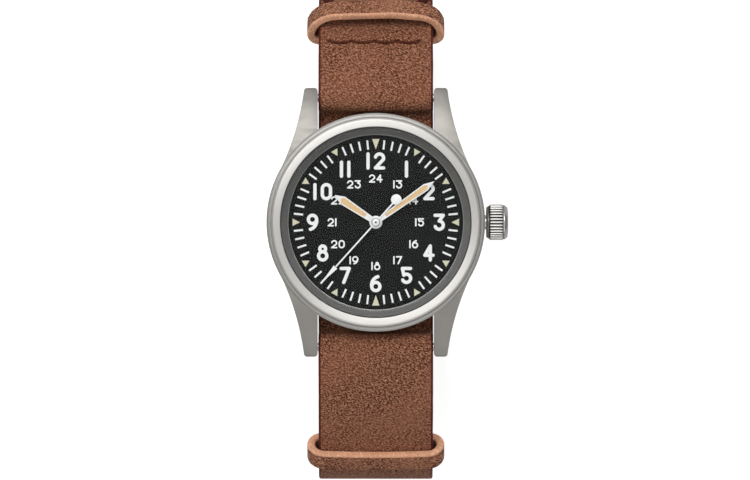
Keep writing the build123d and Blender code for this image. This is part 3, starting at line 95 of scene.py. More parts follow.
# node trees are written with this: a socket takes a plain value or another node's output
class Wiring:
    def __init__(self, tree):
        self.tree = tree
        self.count = 0

    def add(self, kind, sockets=None, **settings):
        made = self.tree.nodes.new(kind if "Node" in kind else "ShaderNode" + kind)
        made.location = (200 + self.count % 12 * 190, -(self.count // 12) * 320)
        self.count += 1
        for key, value in settings.items():
            setattr(made, key, value)
        for key, value in (sockets or {}).items():
            if isinstance(value, bpy.types.NodeSocket):
                self.tree.links.new(value, made.inputs[key])
            else:
                made.inputs[key].default_value = value
        return made

    def out(self, kind, sockets=None, **settings):
        return self.add(kind, sockets, **settings).outputs[0]

    def calc(self, operation, a, b=0.0):
        return self.out("Math", {0: a, 1: b}, operation=operation)

    def times(self, a, b):
        return self.calc("MULTIPLY", a, b)

    def absolute(self, a):
        return self.calc("ABSOLUTE", a)

    def vector(self, x=0.0, y=0.0, z=0.0):
        return self.out("CombineXYZ", {0: x, 1: y, 2: z})


# a material, or the sky when its tree is given
class Paint(Wiring):
    def __init__(self, name, tree=None):
        self.material = None
        if tree is None:
            self.material = bpy.data.materials.new(name)
            self.material.use_nodes = True
            tree = self.material.node_tree
        tree.nodes.clear()
        super().__init__(tree)

    def spread(self, value, low, high, toLow=0.0, toHigh=1.0):
        sockets = {"Value": value, "From Min": low, "From Max": high, "To Min": toLow, "To Max": toHigh}
        return self.out("MapRange", sockets)

    # a level that varies with a noise by a share of itself
    def uneven(self, noise, level, share):
        return self.spread(noise, 0.3, 0.7, level * (1 - share), level * (1 + share))

    def mix(self, factor, a, b):
        return self.add("Mix", {0: factor, 6: a, 7: b}, data_type="RGBA").outputs[2]

    def stretch(self, vector, x, y, z):
        return self.out("VectorMath", {0: vector, 1: (x, y, z)}, operation="MULTIPLY")

    def noise(self, vector, scale, detail=3.0, roughness=0.55):
        sockets = {"Vector": vector, "Scale": scale, "Detail": detail, "Roughness": roughness}
        return self.out("TexNoise", sockets)

    def bump(self, height, depth, strength=1.0, under=None):
        sockets = {"Height": height, "Distance": depth, "Strength": strength}
        if under is not None:
            sockets["Normal"] = under
        return self.out("Bump", sockets)

    def place(self, kind="Object"):
        return self.add("TexCoord").outputs[kind]

    # distance from the Z axis
    def fromAxis(self, place):
        flat = self.stretch(place, 1.0, 1.0, 0.0)
        return self.add("VectorMath", {0: flat}, operation="LENGTH").outputs["Value"]

    # rays that reach the eye, straight or through glass
    def seen(self):
        rays = self.add("LightPath").outputs
        return self.calc("MAXIMUM", rays["Is Camera Ray"], rays["Is Transmission Ray"])

    def finish(self, shader):
        self.add("OutputMaterial" if self.material else "OutputWorld", {"Surface": shader})
        return self.material

    def principled(self, sockets):
        return self.finish(self.out("BsdfPrincipled", sockets))


def grey(level):
    return level, level, level, 1


# the white sky is for the eye, for metal and for glass; other light takes a plain level of it
def makeSky():
    world = bpy.data.worlds.new("studioSky")
    world.use_nodes = True
    scene.world = world
    sky = Paint("studioSky", world.node_tree)
    way = sky.add("SeparateXYZ", {0: sky.place("Generated")}).outputs
    flagged = sky.spread(sky.absolute(way[0]), *studio["flagBand"])
    horizon = sky.spread(way[2], *studio["horizonBand"])
    fronted = sky.spread(way[1], *studio["frontBand"])
    mirrored = sky.mix(flagged, grey(1), grey(studio["flagDim"]))
    mirrored = sky.mix(horizon, mirrored, grey(studio["horizonDim"]))
    plain = sky.mix(fronted, grey(studio["skyDim"]), grey(studio["frontDim"]))
    colour = sky.mix(sky.add("LightPath").outputs["Is Glossy Ray"], plain, mirrored)
    colour = sky.mix(sky.seen(), colour, grey(1))
    sky.finish(sky.out("Background", {"Color": colour, "Strength": 1.0}))


def makeFloor():
    half = studio["floorHalf"]
    mesh = bpy.data.meshes.new("studioFloor")
    corners = [(-half, -half, 0), (half, -half, 0), (half, half, 0), (-half, half, 0)]
    mesh.from_pydata(corners, [], [(0, 1, 2, 3)])
    floor = bpy.data.objects.new("studioFloor", mesh)
    scene.collection.objects.link(floor)
    paint = Paint("studioFloor")
    matt = paint.out("BsdfDiffuse", {"Color": studio["floorColour"]})
    lift = paint.times(paint.seen(), studio["floorLift"])
    glow = paint.out("Emission", {"Color": grey(1), "Strength": lift})
    mesh.materials.append(paint.finish(paint.out("AddShader", {0: matt, 1: glow})))


makeSky()
makeFloor()
print("studio ready")


# metals

metalGrain = {
    "arc": 0.0006,  # how far a turned grain is drawn out round the axis
    "light": 1.06,
    "dark": 0.9,
    "cloud": 160.0,
    "clouding": 0.35,
    "smoother": 0.82,
    "rougher": 1.2,
    "strength": 0.6,
    "stepBrushed": 0.8,
}


def metalPaint(name, colour, rough, grain=9000.0, depth=0.001, way="blasted", anisotropy=0.0, step=None):
    paint = Paint(name)
    place = paint.place()
    if way == "turned":  # fine rings round the Z axis
        x, y, z = paint.add("SeparateXYZ", {0: place}).outputs
        turn = paint.times(paint.calc("ARCTAN2", y, x), metalGrain["arc"])
        streak = paint.noise(paint.vector(paint.fromAxis(place), turn, z), grain, 4.0)
    elif way == "blasted":
        streak = paint.noise(place, grain, 3.0, 0.7)
    else:  # brushed along one axis, given as how far the grain is drawn out each way
        streak = paint.noise(paint.stretch(place, *way), grain, 4.0)
    cloud = paint.noise(place, metalGrain["cloud"], 2.0)
    light = tuple(min(1.0, c * metalGrain["light"]) for c in colour) + (1,)
    dark = tuple(c * metalGrain["dark"] for c in colour) + (1,)
    tone = paint.mix(paint.spread(streak, 0.3, 0.7), dark, light)
    tone = paint.mix(paint.spread(cloud, 0.35, 0.65, 0.0, metalGrain["clouding"]), tone, dark)
    smoother, rougher = rough * metalGrain["smoother"], rough * metalGrain["rougher"]
    sockets = {
        "Base Color": tone,
        "Metallic": 1.0,
        "Roughness": paint.spread(streak, 0.3, 0.7, smoother, rougher),
        "Normal": paint.bump(streak, depth * mm, metalGrain["strength"]),
    }
    if step:  # a lathe-turned ring round the middle, brighter than the rest
        inside = paint.spread(paint.fromAxis(place), step["from"] * mm, step["to"] * mm, 1.0, 0.0)
        sockets["Base Color"] = paint.mix(inside, tone, step["colour"])
        anisotropy = paint.times(inside, metalGrain["stepBrushed"])
    if anisotropy:
        sockets["Anisotropic"] = anisotropy
        sockets["Anisotropic Rotation"] = 0.25
        sockets["Tangent"] = paint.out("Tangent", direction_type="RADIAL", axis="Z")
    return paint.principled(sockets)


metals = {
    "caseSteel": dict(colour=(0.26, 0.249, 0.23), rough=0.45, grain=7000.0, depth=0.008,
                      step={"from": 18.95, "to": 19.1, "colour": (0.41, 0.40, 0.38, 1)}),
    "bezelSteel": dict(colour=(0.578, 0.564, 0.54), rough=0.42, grain=9000.0, depth=0.004,
                       way="turned", anisotropy=0.8),
    "backSteel": dict(colour=(0.45, 0.442, 0.428), rough=0.32, grain=8000.0, depth=0.004,
                      way="turned", anisotropy=0.5),
    "polishedSteel": dict(colour=(0.50, 0.495, 0.485), rough=0.16, grain=5000.0),
    "crownSteel": dict(colour=(0.54, 0.53, 0.515), rough=0.2, grain=6000.0, depth=0.002),
    # nearly black steel: painted shade on the floor of the crown's flutes
    "grooveSteel": dict(colour=(0.02, 0.019, 0.018), rough=0.5, grain=6000.0, depth=0.002),
    "buckleSteel": dict(colour=(0.47, 0.462, 0.45), rough=0.24, grain=5000.0, depth=0.002,
                        way=(0.06, 1.0, 1.0)),
    "pinionSteel": dict(colour=(0.46, 0.46, 0.47), rough=0.22),
    "springSteel": dict(colour=(0.32, 0.33, 0.36), rough=0.25),
    "bluedSteel": dict(colour=(0.05, 0.085, 0.30), rough=0.2),
    "wheelBrass": dict(colour=(0.68, 0.50, 0.22), rough=0.3, grain=9000.0, depth=0.002,
                       way=(1.0, 0.08, 1.0)),
    "bridgeNickel": dict(colour=(0.56, 0.55, 0.52), rough=0.3, grain=6000.0, depth=0.003,
                         way=(0.05, 1.0, 1.0)),
    "plateBrass": dict(colour=(0.62, 0.54, 0.37), rough=0.38, grain=6000.0, depth=0.005),
}
paints = {name: metalPaint(name, **values) for name, values in metals.items()}


# satin ring between dial and crystal, with painted shade that darkens it towards its rim
def rehautPaint(inner, outer, innerTone, streakAndRimShadeTone):
    paint = Paint("rehautSatin")
    place = paint.place()
    radius = paint.fromAxis(place)
    streak = paint.noise(paint.vector(radius), 9000.0, 3.0)
    cloud = paint.noise(place, 900.0, 3.0)
    tone = paint.mix(paint.spread(radius, inner, outer), innerTone, streakAndRimShadeTone)
    tone = paint.mix(paint.spread(streak, 0.35, 0.65, 0.0, 0.3), tone, streakAndRimShadeTone)
    return paint.principled({
        "Base Color": tone,
        "Roughness": paint.uneven(cloud, 0.4, 0.15),
        "Specular IOR Level": 0.35,
        "Normal": paint.bump(streak, 0.003 * mm, 0.5),
    })


# rubber, paint, lume, print, jewel and thread: one coat over a fine grain
def coatPaint(name, colour, rough, specular, grain, depth, speckle, coat=0.0, stretchTo=None, hub=None):
    paint = Paint(name)
    place = paint.place()
    if stretchTo:
        place = paint.stretch(place, *stretchTo)
    fine = paint.noise(place, grain, 3.0, 0.65)
    broad = paint.noise(place, grain / 14, 2.0)
    dark = tuple(c * (1 - speckle) for c in colour) + (1,)
    light = tuple(min(1.0, c * (1 + speckle / 2)) for c in colour) + (1,)
    tone = paint.mix(paint.spread(fine, 0.32, 0.68), dark, light)
    tone = paint.mix(paint.spread(broad, 0.35, 0.7, 0.0, 0.3), tone, dark)
    if hub:  # a thin ring of painted shadow where the hub cap's edge falls, and a dark dot for the steel pin where the hand sits on its axle
        radius = paint.fromAxis(paint.place())
        off = paint.absolute(paint.calc("SUBTRACT", radius, hub["line"] * mm))
        tone = paint.mix(paint.spread(off, 0.03 * mm, 0.1 * mm, 0.75, 0.0), tone, hub["hubShadowTone"])
        dot = paint.spread(radius, hub["dot"] * mm, (hub["dot"] + 0.07) * mm, 0.95, 0.0)
        tone = paint.mix(dot, tone, hub["dotTone"])
    sockets = {
        "Base Color": tone,
        "Roughness": paint.uneven(fine, rough, 0.12),
        "Specular IOR Level": specular,
        "Normal": paint.bump(fine, depth * mm, 0.5),
    }
    if coat:
        sockets["Coat Weight"] = coat
        sockets["Coat Roughness"] = 0.08
    return paint.principled(sockets)


coats = {
    "dialBlack": dict(colour=(0.0095, 0.0105, 0.0098), rough=0.62, specular=0.05, grain=9000.0,
                      depth=0.001, speckle=0.25),
    "dialWhite": dict(colour=(0.93, 0.94, 0.93), rough=0.5, specular=0.3, grain=6000.0,
                      depth=0.004, speckle=0.04),
    "creamLume": dict(colour=(0.76, 0.735, 0.545), rough=0.75, specular=0.2, grain=5200.0,
                      depth=0.02, speckle=0.16),
    "tanLume": dict(colour=(0.88, 0.61, 0.325), rough=0.72, specular=0.2, grain=4200.0,
                    depth=0.02, speckle=0.22),
    "handWhite": dict(colour=(0.93, 0.93, 0.93), rough=0.25, specular=0.5, grain=3000.0,
                      depth=0.001, speckle=0.03, coat=0.4,
                      # the hub ring is painted shadow, the dot the steel pin
                      hub={"line": 0.7, "hubShadowTone": (0.16, 0.16, 0.165, 1),
                           "dot": 0.15, "dotTone": (0.03, 0.03, 0.032, 1)}),
    "sealBlack": dict(colour=(0.02, 0.02, 0.02), rough=0.6, specular=0.3, grain=4000.0,
                      depth=0.01, speckle=0.2),
    "ringPlastic": dict(colour=(0.62, 0.62, 0.58), rough=0.55, specular=0.4, grain=5000.0,
                        depth=0.004, speckle=0.06),
    "rubyJewel": dict(colour=(0.52, 0.02, 0.09), rough=0.12, specular=0.6, grain=4000.0,
                      depth=0.001, speckle=0.2, coat=0.8),
    "edgeDye": dict(colour=(0.10, 0.013, 0.010), rough=0.5, specular=0.15, grain=2600.0,
                    depth=0.02, speckle=0.3),
    "waxedThread": dict(colour=(0.13, 0.035, 0.017), rough=0.6, specular=0.1, grain=3500.0,
                        depth=0.03, speckle=0.4, stretchTo=(2.2, 1.0, 1.0)),
}
paints.update({name: coatPaint(name, **values) for name, values in coats.items()})


def crystalPaint():
    paint = Paint("crystalGlass")
    clear = paint.out("BsdfPrincipled", {
        "Base Color": (0.985, 0.99, 0.99, 1),
        "Roughness": 0.0,
        "IOR": 1.13,  # low, because both faces are coated against glare
        "Transmission Weight": 1.0,
    })
    thin = paint.out("BsdfTransparent", {"Color": (0.97, 0.975, 0.975, 1)})
    rays = paint.add("LightPath").outputs
    lighting = paint.calc("MAXIMUM", rays["Is Shadow Ray"], rays["Is Diffuse Ray"])
    return paint.finish(paint.out("MixShader", {0: lighting, 1: clear, 2: thin}))


# leather: pebbled grain in the strap's own UV map, which is laid out in metres

# each leather's creases are darkened partly by their own colour and partly by painted shade; its light
# peaks are partly wear and partly painted highlight
leathers = {
    "strapLeather": dict(creaseAndShade=(0.095, 0.03, 0.0145, 1), top=(0.52, 0.228, 0.134, 1),
                         wearAndHighlight=(0.86, 0.50, 0.34, 1), patchTone=(0.47, 0.195, 0.112, 1),
                         cell=4100.0, pore=4700.0, patch=75.0, drift=1000.0,
                         push=0.3, slant=32.0, drawn=0.5, relief=0.3, rough=0.5),
    "keeperLeather": dict(creaseAndShade=(0.085, 0.026, 0.012, 1), top=(0.53, 0.236, 0.136, 1),
                          wearAndHighlight=(0.84, 0.49, 0.33, 1), patchTone=(0.58, 0.27, 0.155, 1),
                          cell=3900.0, pore=4300.0, patch=130.0, drift=1100.0,
                          push=0.3, slant=60.0, drawn=0.55, relief=0.25, rough=0.5),
    "liningLeather": dict(creaseAndShade=(0.18, 0.085, 0.05, 1), top=(0.42, 0.235, 0.145, 1),
                          wearAndHighlight=(0.52, 0.31, 0.20, 1), patchTone=(0.33, 0.17, 0.10, 1),
                          cell=1600.0, pore=3800.0, patch=110.0, drift=700.0,
                          push=0.8, slant=10.0, drawn=1.0, relief=0.1, rough=0.8),
    # the keeper's raw cut edge, brightened by a painted highlight
    "cutEdge": dict(creaseAndShade=(0.58, 0.29, 0.17, 1), top=(0.72, 0.385, 0.245, 1),
                    wearAndHighlight=(1.0, 0.66, 0.45, 1), patchTone=(0.92, 0.48, 0.29, 1),
                    cell=2600.0, pore=4200.0, patch=300.0, drift=900.0,
                    push=0.3, slant=0.0, drawn=0.4, relief=0.05, rough=0.7),
}
grainMix = {
    "pebbleShare": 0.35,
    "poreShare": 0.65,
    "creaseAndShadeBand": (0.26, 0.48),
    "wearAndHighlight": (0.6, 0.95),
    "patched": (0.42, 0.66, 0.0, 0.3),
    "specular": 0.06,
}


# how near a place is to the row of stitches, 1 on the line
def seamLine(paint, place, seam):
    parts = paint.add("SeparateXYZ", {0: place}).outputs
    left = paint.calc("SUBTRACT", parts[0], seam["middle"] - seam["reach"])
    turn = paint.times(left, math.pi / seam["arc"])
    sag = paint.times(paint.absolute(paint.calc("SINE", turn)), seam["sag"])
    off = paint.calc("SUBTRACT", paint.calc("ADD", parts[1], sag), seam["along"])
    line = paint.spread(paint.absolute(off), seam["core"], seam["half"], 1.0, 0.0)
    aside = paint.absolute(paint.calc("SUBTRACT", parts[0], seam["middle"]))
    ends = paint.spread(aside, seam["reach"], seam["reach"] + seam["fade"], 1.0, 0.0)
    return paint.times(line, ends)


def leatherPaint(name, kind, seam=None):
    look = leathers[kind]
    paint = Paint(name)
    place = paint.place("UV")
    sockets = {"Vector": place, "Scale": look["drift"], "Detail": 2.0}
    drift = paint.add("TexNoise", sockets).outputs["Color"]
    push = paint.out("VectorMath", {0: drift, 1: (0.5, 0.5, 0.5)}, operation="SUBTRACT")
    push = paint.stretch(push, look["push"] * mm, look["push"] * mm, 0.0)
    bent = paint.out("VectorMath", {0: place, 1: push}, operation="ADD")
    slant = (0.0, 0.0, math.radians(look["slant"]))
    turned = paint.out("Mapping", {"Vector": bent, "Rotation": slant})
    drawn = paint.stretch(turned, look["drawn"], 1.0, 1.0)
    cells = paint.add("TexVoronoi", {"Vector": drawn, "Scale": look["cell"], "Smoothness": 0.4},
                      feature="SMOOTH_F1").outputs["Distance"]
    pebble = paint.spread(cells, 0.1, 0.5, 1.0, 0.0)
    pores = paint.noise(drawn, look["pore"], 4.0, 0.6)
    patches = paint.noise(place, look["patch"], 1.5, 0.5)
    grain = paint.calc("ADD", paint.times(pebble, grainMix["pebbleShare"]),
                       paint.spread(pores, 0.34, 0.66, 0.0, grainMix["poreShare"]))
    # the grain's dark creases are partly its own colour and partly painted shade; its light peaks are
    # partly wear and partly painted highlight
    tone = paint.mix(paint.spread(grain, *grainMix["creaseAndShadeBand"]), look["creaseAndShade"], look["top"])
    tone = paint.mix(paint.spread(grain, *grainMix["wearAndHighlight"]), tone, look["wearAndHighlight"])
    tone = paint.mix(paint.spread(patches, *grainMix["patched"]), tone, look["patchTone"])
    relief = paint.bump(grain, look["relief"] * mm)
    if seam:  # the thread pulls the leather down along one line, and painted shade darkens that line
        line = seamLine(paint, place, seam)
        tone = paint.mix(paint.times(line, seam["darkening"]), tone, seam["shade"])
        relief = paint.bump(paint.times(line, -1.0), seam["pull"], 1.0, relief)
    return paint.principled({
        "Base Color": tone,
        "Roughness": paint.uneven(pores, look["rough"], 0.16),
        "Specular IOR Level": grainMix["specular"],
        "Normal": relief,
    })


# the strap: sizes in millimetres, the same run of bends as the leather of the solids
strap = {
    "width": 20.0,
    "thick": 1.6,
    "underThick": 1.0,
    "gap": 0.1,
    "loopGap": 0.1,
    "corner": 0.38,
    "waver": 0.05,  # how uneven the edges are, and how far in from the edge
    "waverIn": 1.2,
    "caseBend": 1.5,
    "barFall": 12.0,
    "topBend": (28.0, 41.0),  # radius, and how steep the arm is where the bend ends
    "topTurn": (22.2, 118.0),
    "buckleRun": 16.5,
    "lowTurn": 13.0,
    "frontBend": (39.0, 43.0),
    "frontTurn": (14.0, 90.0),
    "barAt": 5.2,
    "buckleBar": 0.8,
    "foldWrap": 205.0,
    "foldBack": 4.0,
    "foldEnd": 9.0,
    "foldSlot": 2.8,
    "frameAt": 15.2,
    "tailRise": 19.3,
    "tailRiseBend": 9.0,
    "tailRiseAt": 1.2,
    "tailEnd": 45.0,
    "tailTip": 9.0,
    "tailTaper": 7.0,
    "hole": 1.0,
    "holePitch": 7.0,
    "holes": 6,
    "slotLong": 6.6,
    "slotAt": 9.3,
    "cutSpare": 0.5,  # how far a cutter stands out of the leather
    "underTop": (8.0, 6.0, 32.5, 50.0),  # bend, rise, where it meets the arm and where it ends
    "underFront": (20.0, 10.0, 42.0, 50.0),
}


def outward(degrees):
    angle = math.radians(degrees)
    return math.sin(angle), math.cos(angle)


def onBend(centre, radius, degrees):
    out = outward(degrees)
    return centre[0] + radius * out[0], centre[1] + radius * out[1]


def travel(*bends):
    side = sum(r * (outward(b)[0] - outward(a)[0]) for r, a, b in bends)
    down = sum(r * (outward(a)[1] - outward(b)[1]) for r, a, b in bends)
    return side, down


def gapBetween(a, b):
    return math.hypot(b[0] - a[0], b[1] - a[1])


def lengthOf(points):
    return sum(gapBetween(a, b) for a, b in zip(points, points[1:]))


# a whole circle, and a quarter of one that runs clockwise, as cosine and sine
def circle(count):
    angles = [2 * math.pi * k / count for k in range(count)]
    return [(math.cos(angle), math.sin(angle)) for angle in angles]


def quarter(start, steps):
    angles = [math.radians(start - 90 * k / steps) for k in range(steps + 1)]
    return [(math.cos(angle), math.sin(angle)) for angle in angles]


# a line in the YZ plane made of straight runs and bends, kept as points with their direction
class Walk:
    def __init__(self, y, z):
        self.y, self.z, self.heading = y, z, 0.0
        self.points = [(y, z, 0.0)]

    def keep(self):
        self.points.append((self.y, self.z, self.heading))

    def run(self, length, step=0.9):
        pieces = max(1, round(length / step))
        angle = math.radians(self.heading)
        for _ in range(pieces):
            self.y += length / pieces * math.cos(angle)
            self.z += length / pieces * math.sin(angle)
            self.keep()

    def bend(self, radius, turn, step=0.9):
        pieces = max(3, round(radius * math.radians(abs(turn)) / step), round(abs(turn) / 9))
        side = math.copysign(1, turn)
        for _ in range(pieces):
            out = outward(-self.heading)
            centre = (self.y + side * radius * out[0], self.z + side * radius * out[1])
            self.heading += turn / pieces
            out = outward(-self.heading)
            self.y, self.z = centre[0] - side * radius * out[0], centre[1] - side * radius * out[1]
            self.keep()

    def bendTo(self, radius, heading):
        self.bend(radius, heading - self.heading)


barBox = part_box("spring_bars")
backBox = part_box("case_back")
barR = (barBox[1].z - barBox[0].z) / 2 / mm
barY = barBox[1].y / mm - barR
barZ = barBox[1].z / mm - barR
layer = strap["thick"] + strap["gap"]
wrapR = barR + strap["loopGap"] + strap["thick"]
strapLevel = backBox[0].z / mm - strap["gap"]
barOut = outward(strap["barFall"])
startY, startZ = barY + wrapR * barOut[0], barZ + wrapR * barOut[1]
topR, topSteep = strap["topBend"]
turnR, turnSteep = strap["topTurn"]
frontR, frontSteep = strap["frontBend"]
frontTurnR, frontTurnSteep = strap["frontTurn"]
lowR = strap["lowTurn"]
topCentre = (startY - topR * barOut[0], startZ - topR * barOut[1])
frontCentre = (startY - frontR * barOut[0], startZ - frontR * barOut[1])
turnCentre = onBend(topCentre, topR - turnR, topSteep)
buckleStart = onBend(turnCentre, turnR, turnSteep)
buckleOut = outward(turnSteep)
topSide, topDown = travel((topR, strap["barFall"], topSteep), (turnR, topSteep, turnSteep),
                          (lowR, turnSteep, 180.0))
restEnd = startY + topSide + strap["buckleRun"] * buckleOut[1]
topDown += strap["buckleRun"] * buckleOut[0]
frontSide, frontDown = travel((frontR, strap["barFall"], frontSteep),
                              (frontTurnR, frontSteep, frontTurnSteep))
frontLowR = topDown - frontDown
restStart = -(startY + frontSide - frontLowR)


def overCase():
    walk = Walk(0.0, strapLevel)
    walk.run(barY - wrapR - strap["caseBend"])
    walk.bend(strap["caseBend"], 90)
    walk.run(barZ - strapLevel - strap["caseBend"])
    walk.bendTo(wrapR, -strap["barFall"])
    return walk


# down the arm at 12 o'clock, round the buckle's bar and back to the end of the fold
def buckleArm():
    walk = overCase()
    walk.bendTo(topR, -topSteep)
    walk.bendTo(turnR, -turnSteep)
    walk.run(strap["barAt"])
    foldR = strap["thick"] + strap["loopGap"] + strap["buckleBar"]
    walk.bend(foldR, -strap["foldWrap"])
    turn = strap["foldWrap"] - 180.0
    closed = (foldR + strap["foldBack"]) * (1 - math.cos(math.radians(turn)))
    room = 2 * (strap["buckleBar"] + strap["loopGap"]) - strap["gap"]
    walk.run((room - closed) / math.sin(math.radians(turn)))
    walk.bend(strap["foldBack"], turn)
    down = (buckleOut[1], -buckleOut[0])
    walk.run((walk.y - buckleStart[0]) * down[0] + (walk.z - buckleStart[1]) * down[1])
    walk.bend(turnR - layer - strap["thick"], strap["foldEnd"])
    return walk.points


# down the arm at 6 o'clock, along the rest, through the buckle and up over the other arm
def holeArm():
    walk = overCase()
    walk.bendTo(frontR, -frontSteep)
    walk.bendTo(frontTurnR, -frontTurnSteep)
    walk.bendTo(frontLowR, -180.0)
    walk.run(restEnd - restStart)
    walk.bendTo(lowR, turnSteep - 360.0)
    rise = math.radians(strap["tailRise"])
    climb = 2 * strap["tailRiseBend"] * (1 - math.cos(rise))
    slide = (layer - climb) / math.sin(rise)
    used = 2 * strap["tailRiseBend"] * math.sin(rise) + slide * math.cos(rise)
    walk.run(strap["buckleRun"] - strap["frameAt"] + strap["tailRiseAt"])
    walk.bend(strap["tailRiseBend"], strap["tailRise"])
    walk.run(slide)
    walk.bend(strap["tailRiseBend"], -strap["tailRise"])
    walk.run(strap["frameAt"] - strap["tailRiseAt"] - used)
    walk.bend(turnR + layer, strap["tailEnd"] - turnSteep)
    return walk.points


def underArm(centre, bendR, endR, sizes):
    underBend, underRise, meet, end = sizes
    inner = bendR - layer
    crest = onBend(centre, inner - underBend, meet)
    level = strapLevel - layer - strap["gap"]
    reach = underRise + underBend
    rise = math.acos((level + underRise - crest[1]) / reach)
    walk = Walk(0.0, level)
    walk.run(crest[0] - reach * math.sin(rise))
    walk.bend(underRise, math.degrees(rise))
    walk.bendTo(underBend, -meet)
    walk.bendTo(inner, -endR[1])
    walk.bendTo(endR[0] - layer, -end)
    return walk.points


# one line from the end of the arm at 6 o'clock to the end of the arm at 12 o'clock
def joined(front, top):
    turned = [(-y, z, -heading) for y, z, heading in reversed(front)]
    return turned[:-1] + top


# a leather piece's three finishes, in this order
faceSlot, edgeSlot, backSlot = 0, 1, 2


# closed outline of the leather's thickness: across, depth, and which finish the side after it has
def leatherSection(half, thick, steps=4, columns=10):
    corner = strap["corner"]
    reach = half - corner
    outline = []
    for right, low, start in ((1, 0, 90), (1, 1, 0), (-1, 1, -90), (-1, 0, -180)):
        middle = -thick + corner if low else -corner
        for nx, ny in quarter(start, steps):
            outline.append((right * reach + corner * nx, middle + corner * ny, edgeSlot))
        if (right, low) == (1, 1):
            outline[-1] = (*outline[-1][:2], backSlot)
            outline += [(reach - 2 * reach * k / columns, -thick, backSlot) for k in range(1, columns)]
        if (right, low) == (-1, 0):
            outline[-1] = (*outline[-1][:2], faceSlot)
            outline += [(-reach + 2 * reach * k / columns, 0.0, faceSlot) for k in range(1, columns)]
    return outline


# distance round a section up to each of its points, and back to the first
def girthOf(section):
    girth = [0.0]
    for here, after in zip(section, section[1:] + section[:1]):
        girth.append(girth[-1] + gapBetween(here, after))
    return girth


# quads between two rings of points, triangles where a ring is one point
def bridge(work, near, far, smoothed=True):
    made = []
    for k in range(max(len(near), len(far))):
        corners = [ring[j % len(ring)] for ring, j in ((near, k), (near, k + 1), (far, k + 1), (far, k))]
        made.append(work.faces.new(list(dict.fromkeys(corners))))
        made[-1].smooth = smoothed
    return made


def capped(work, rings):
    work.faces.new(list(reversed(rings[0])))
    work.faces.new(rings[-1])
    bmesh.ops.recalc_face_normals(work, faces=work.faces)
    return work


# a piece of leather between two rings: their points, their girth and their place along it
def skin(work, uvLayer, near, far, section):
    for k, quad in enumerate(bridge(work, near[0], far[0])):
        quad.material_index = section[k][2]
        corners = ((near, k), (near, k + 1), (far, k + 1), (far, k))
        for loop, ((_, girth, along), column) in zip(quad.loops, corners):
            loop[uvLayer].uv = (girth[column] * mm, along * mm)


def meshObject(name, work, *finishes):
    mesh = bpy.data.meshes.new(name)
    work.to_mesh(mesh)
    work.free()
    for finish in finishes:
        mesh.materials.append(finish)
    made = bpy.data.objects.new(name, mesh)
    scene.collection.objects.link(made)
    return made


# a plain mesh of what the object's modifiers make of it
def applied(made):
    graph = bpy.context.evaluated_depsgraph_get()
    mesh = bpy.data.meshes.new_from_object(made.evaluated_get(graph), preserve_all_data_layers=True,
                                           depsgraph=graph)
    old = made.data
    made.modifiers.clear()
    made.data = mesh
    mesh.name = made.name
    bpy.data.meshes.remove(old)
    return made


def takeOver(made, body, slot, *replaced):
    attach(made, body)
    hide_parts(*replaced)


# leather swept along a walk, its UV map in metres, its edges a little uneven
def sweepLeather(name, points, thick, widthAt, finishes):
    work = bmesh.new()
    uvLayer = work.loops.layers.uv.new("leather")
    rings = []
    length = 0.0
    for index, (y, z, heading) in enumerate(points):
        if index:
            length += gapBetween(points[index - 1], (y, z))
        half = widthAt(length)
        section = leatherSection(half, thick)
        out = outward(-heading)
        ring = []
        for across, depth, _ in section:
            edge = max(0.0, abs(across) - half + strap["waverIn"]) / strap["waverIn"]
            lump = field.noise(Vector((across * 0.35, length * 0.3, 1.7))) * strap["waver"] * edge
            moved = across - math.copysign(abs(lump), across)
            place = Vector((moved, y + depth * out[0], z + depth * out[1]))
            ring.append(work.verts.new(place * mm))
        rings.append((ring, girthOf(section), length))
        if index:
            skin(work, uvLayer, rings[-2], rings[-1], section)
    for (ring, _, along), flip in ((rings[0], True), (rings[-1], False)):
        cap = work.faces.new(list(reversed(ring)) if flip else ring)
        cap.material_index = edgeSlot
        for loop in cap.loops:
            loop[uvLayer].uv = (loop.vert.co.x, along * mm + loop.vert.co.z)
    bmesh.ops.recalc_face_normals(work, faces=work.faces)
    return meshObject(name, work, *finishes), length


# a frame that stands on the leather: across the strap, down the arm, out from its face
def facing(y, z, out):
    return Matrix((
        (1, 0, 0, 0),
        (0, out[1], out[0], y * mm),
        (0, -out[0], out[1], z * mm),
        (0, 0, 0, 1),
    ))


# a round rod through the leather, or a slot when it is stretched down the arm
def roundCutter(work, place, radius, half, stretched=0.0):
    near, far = [], []
    for x, y in circle(28):
        across, down = radius * x, radius * y + math.copysign(stretched / 2, y)
        for ring, height in ((near, -half), (far, half)):
            ring.append(work.verts.new(place @ Vector((across * mm, down * mm, height * mm))))
    bridge(work, near, far, False)
    capped(work, (near, far))


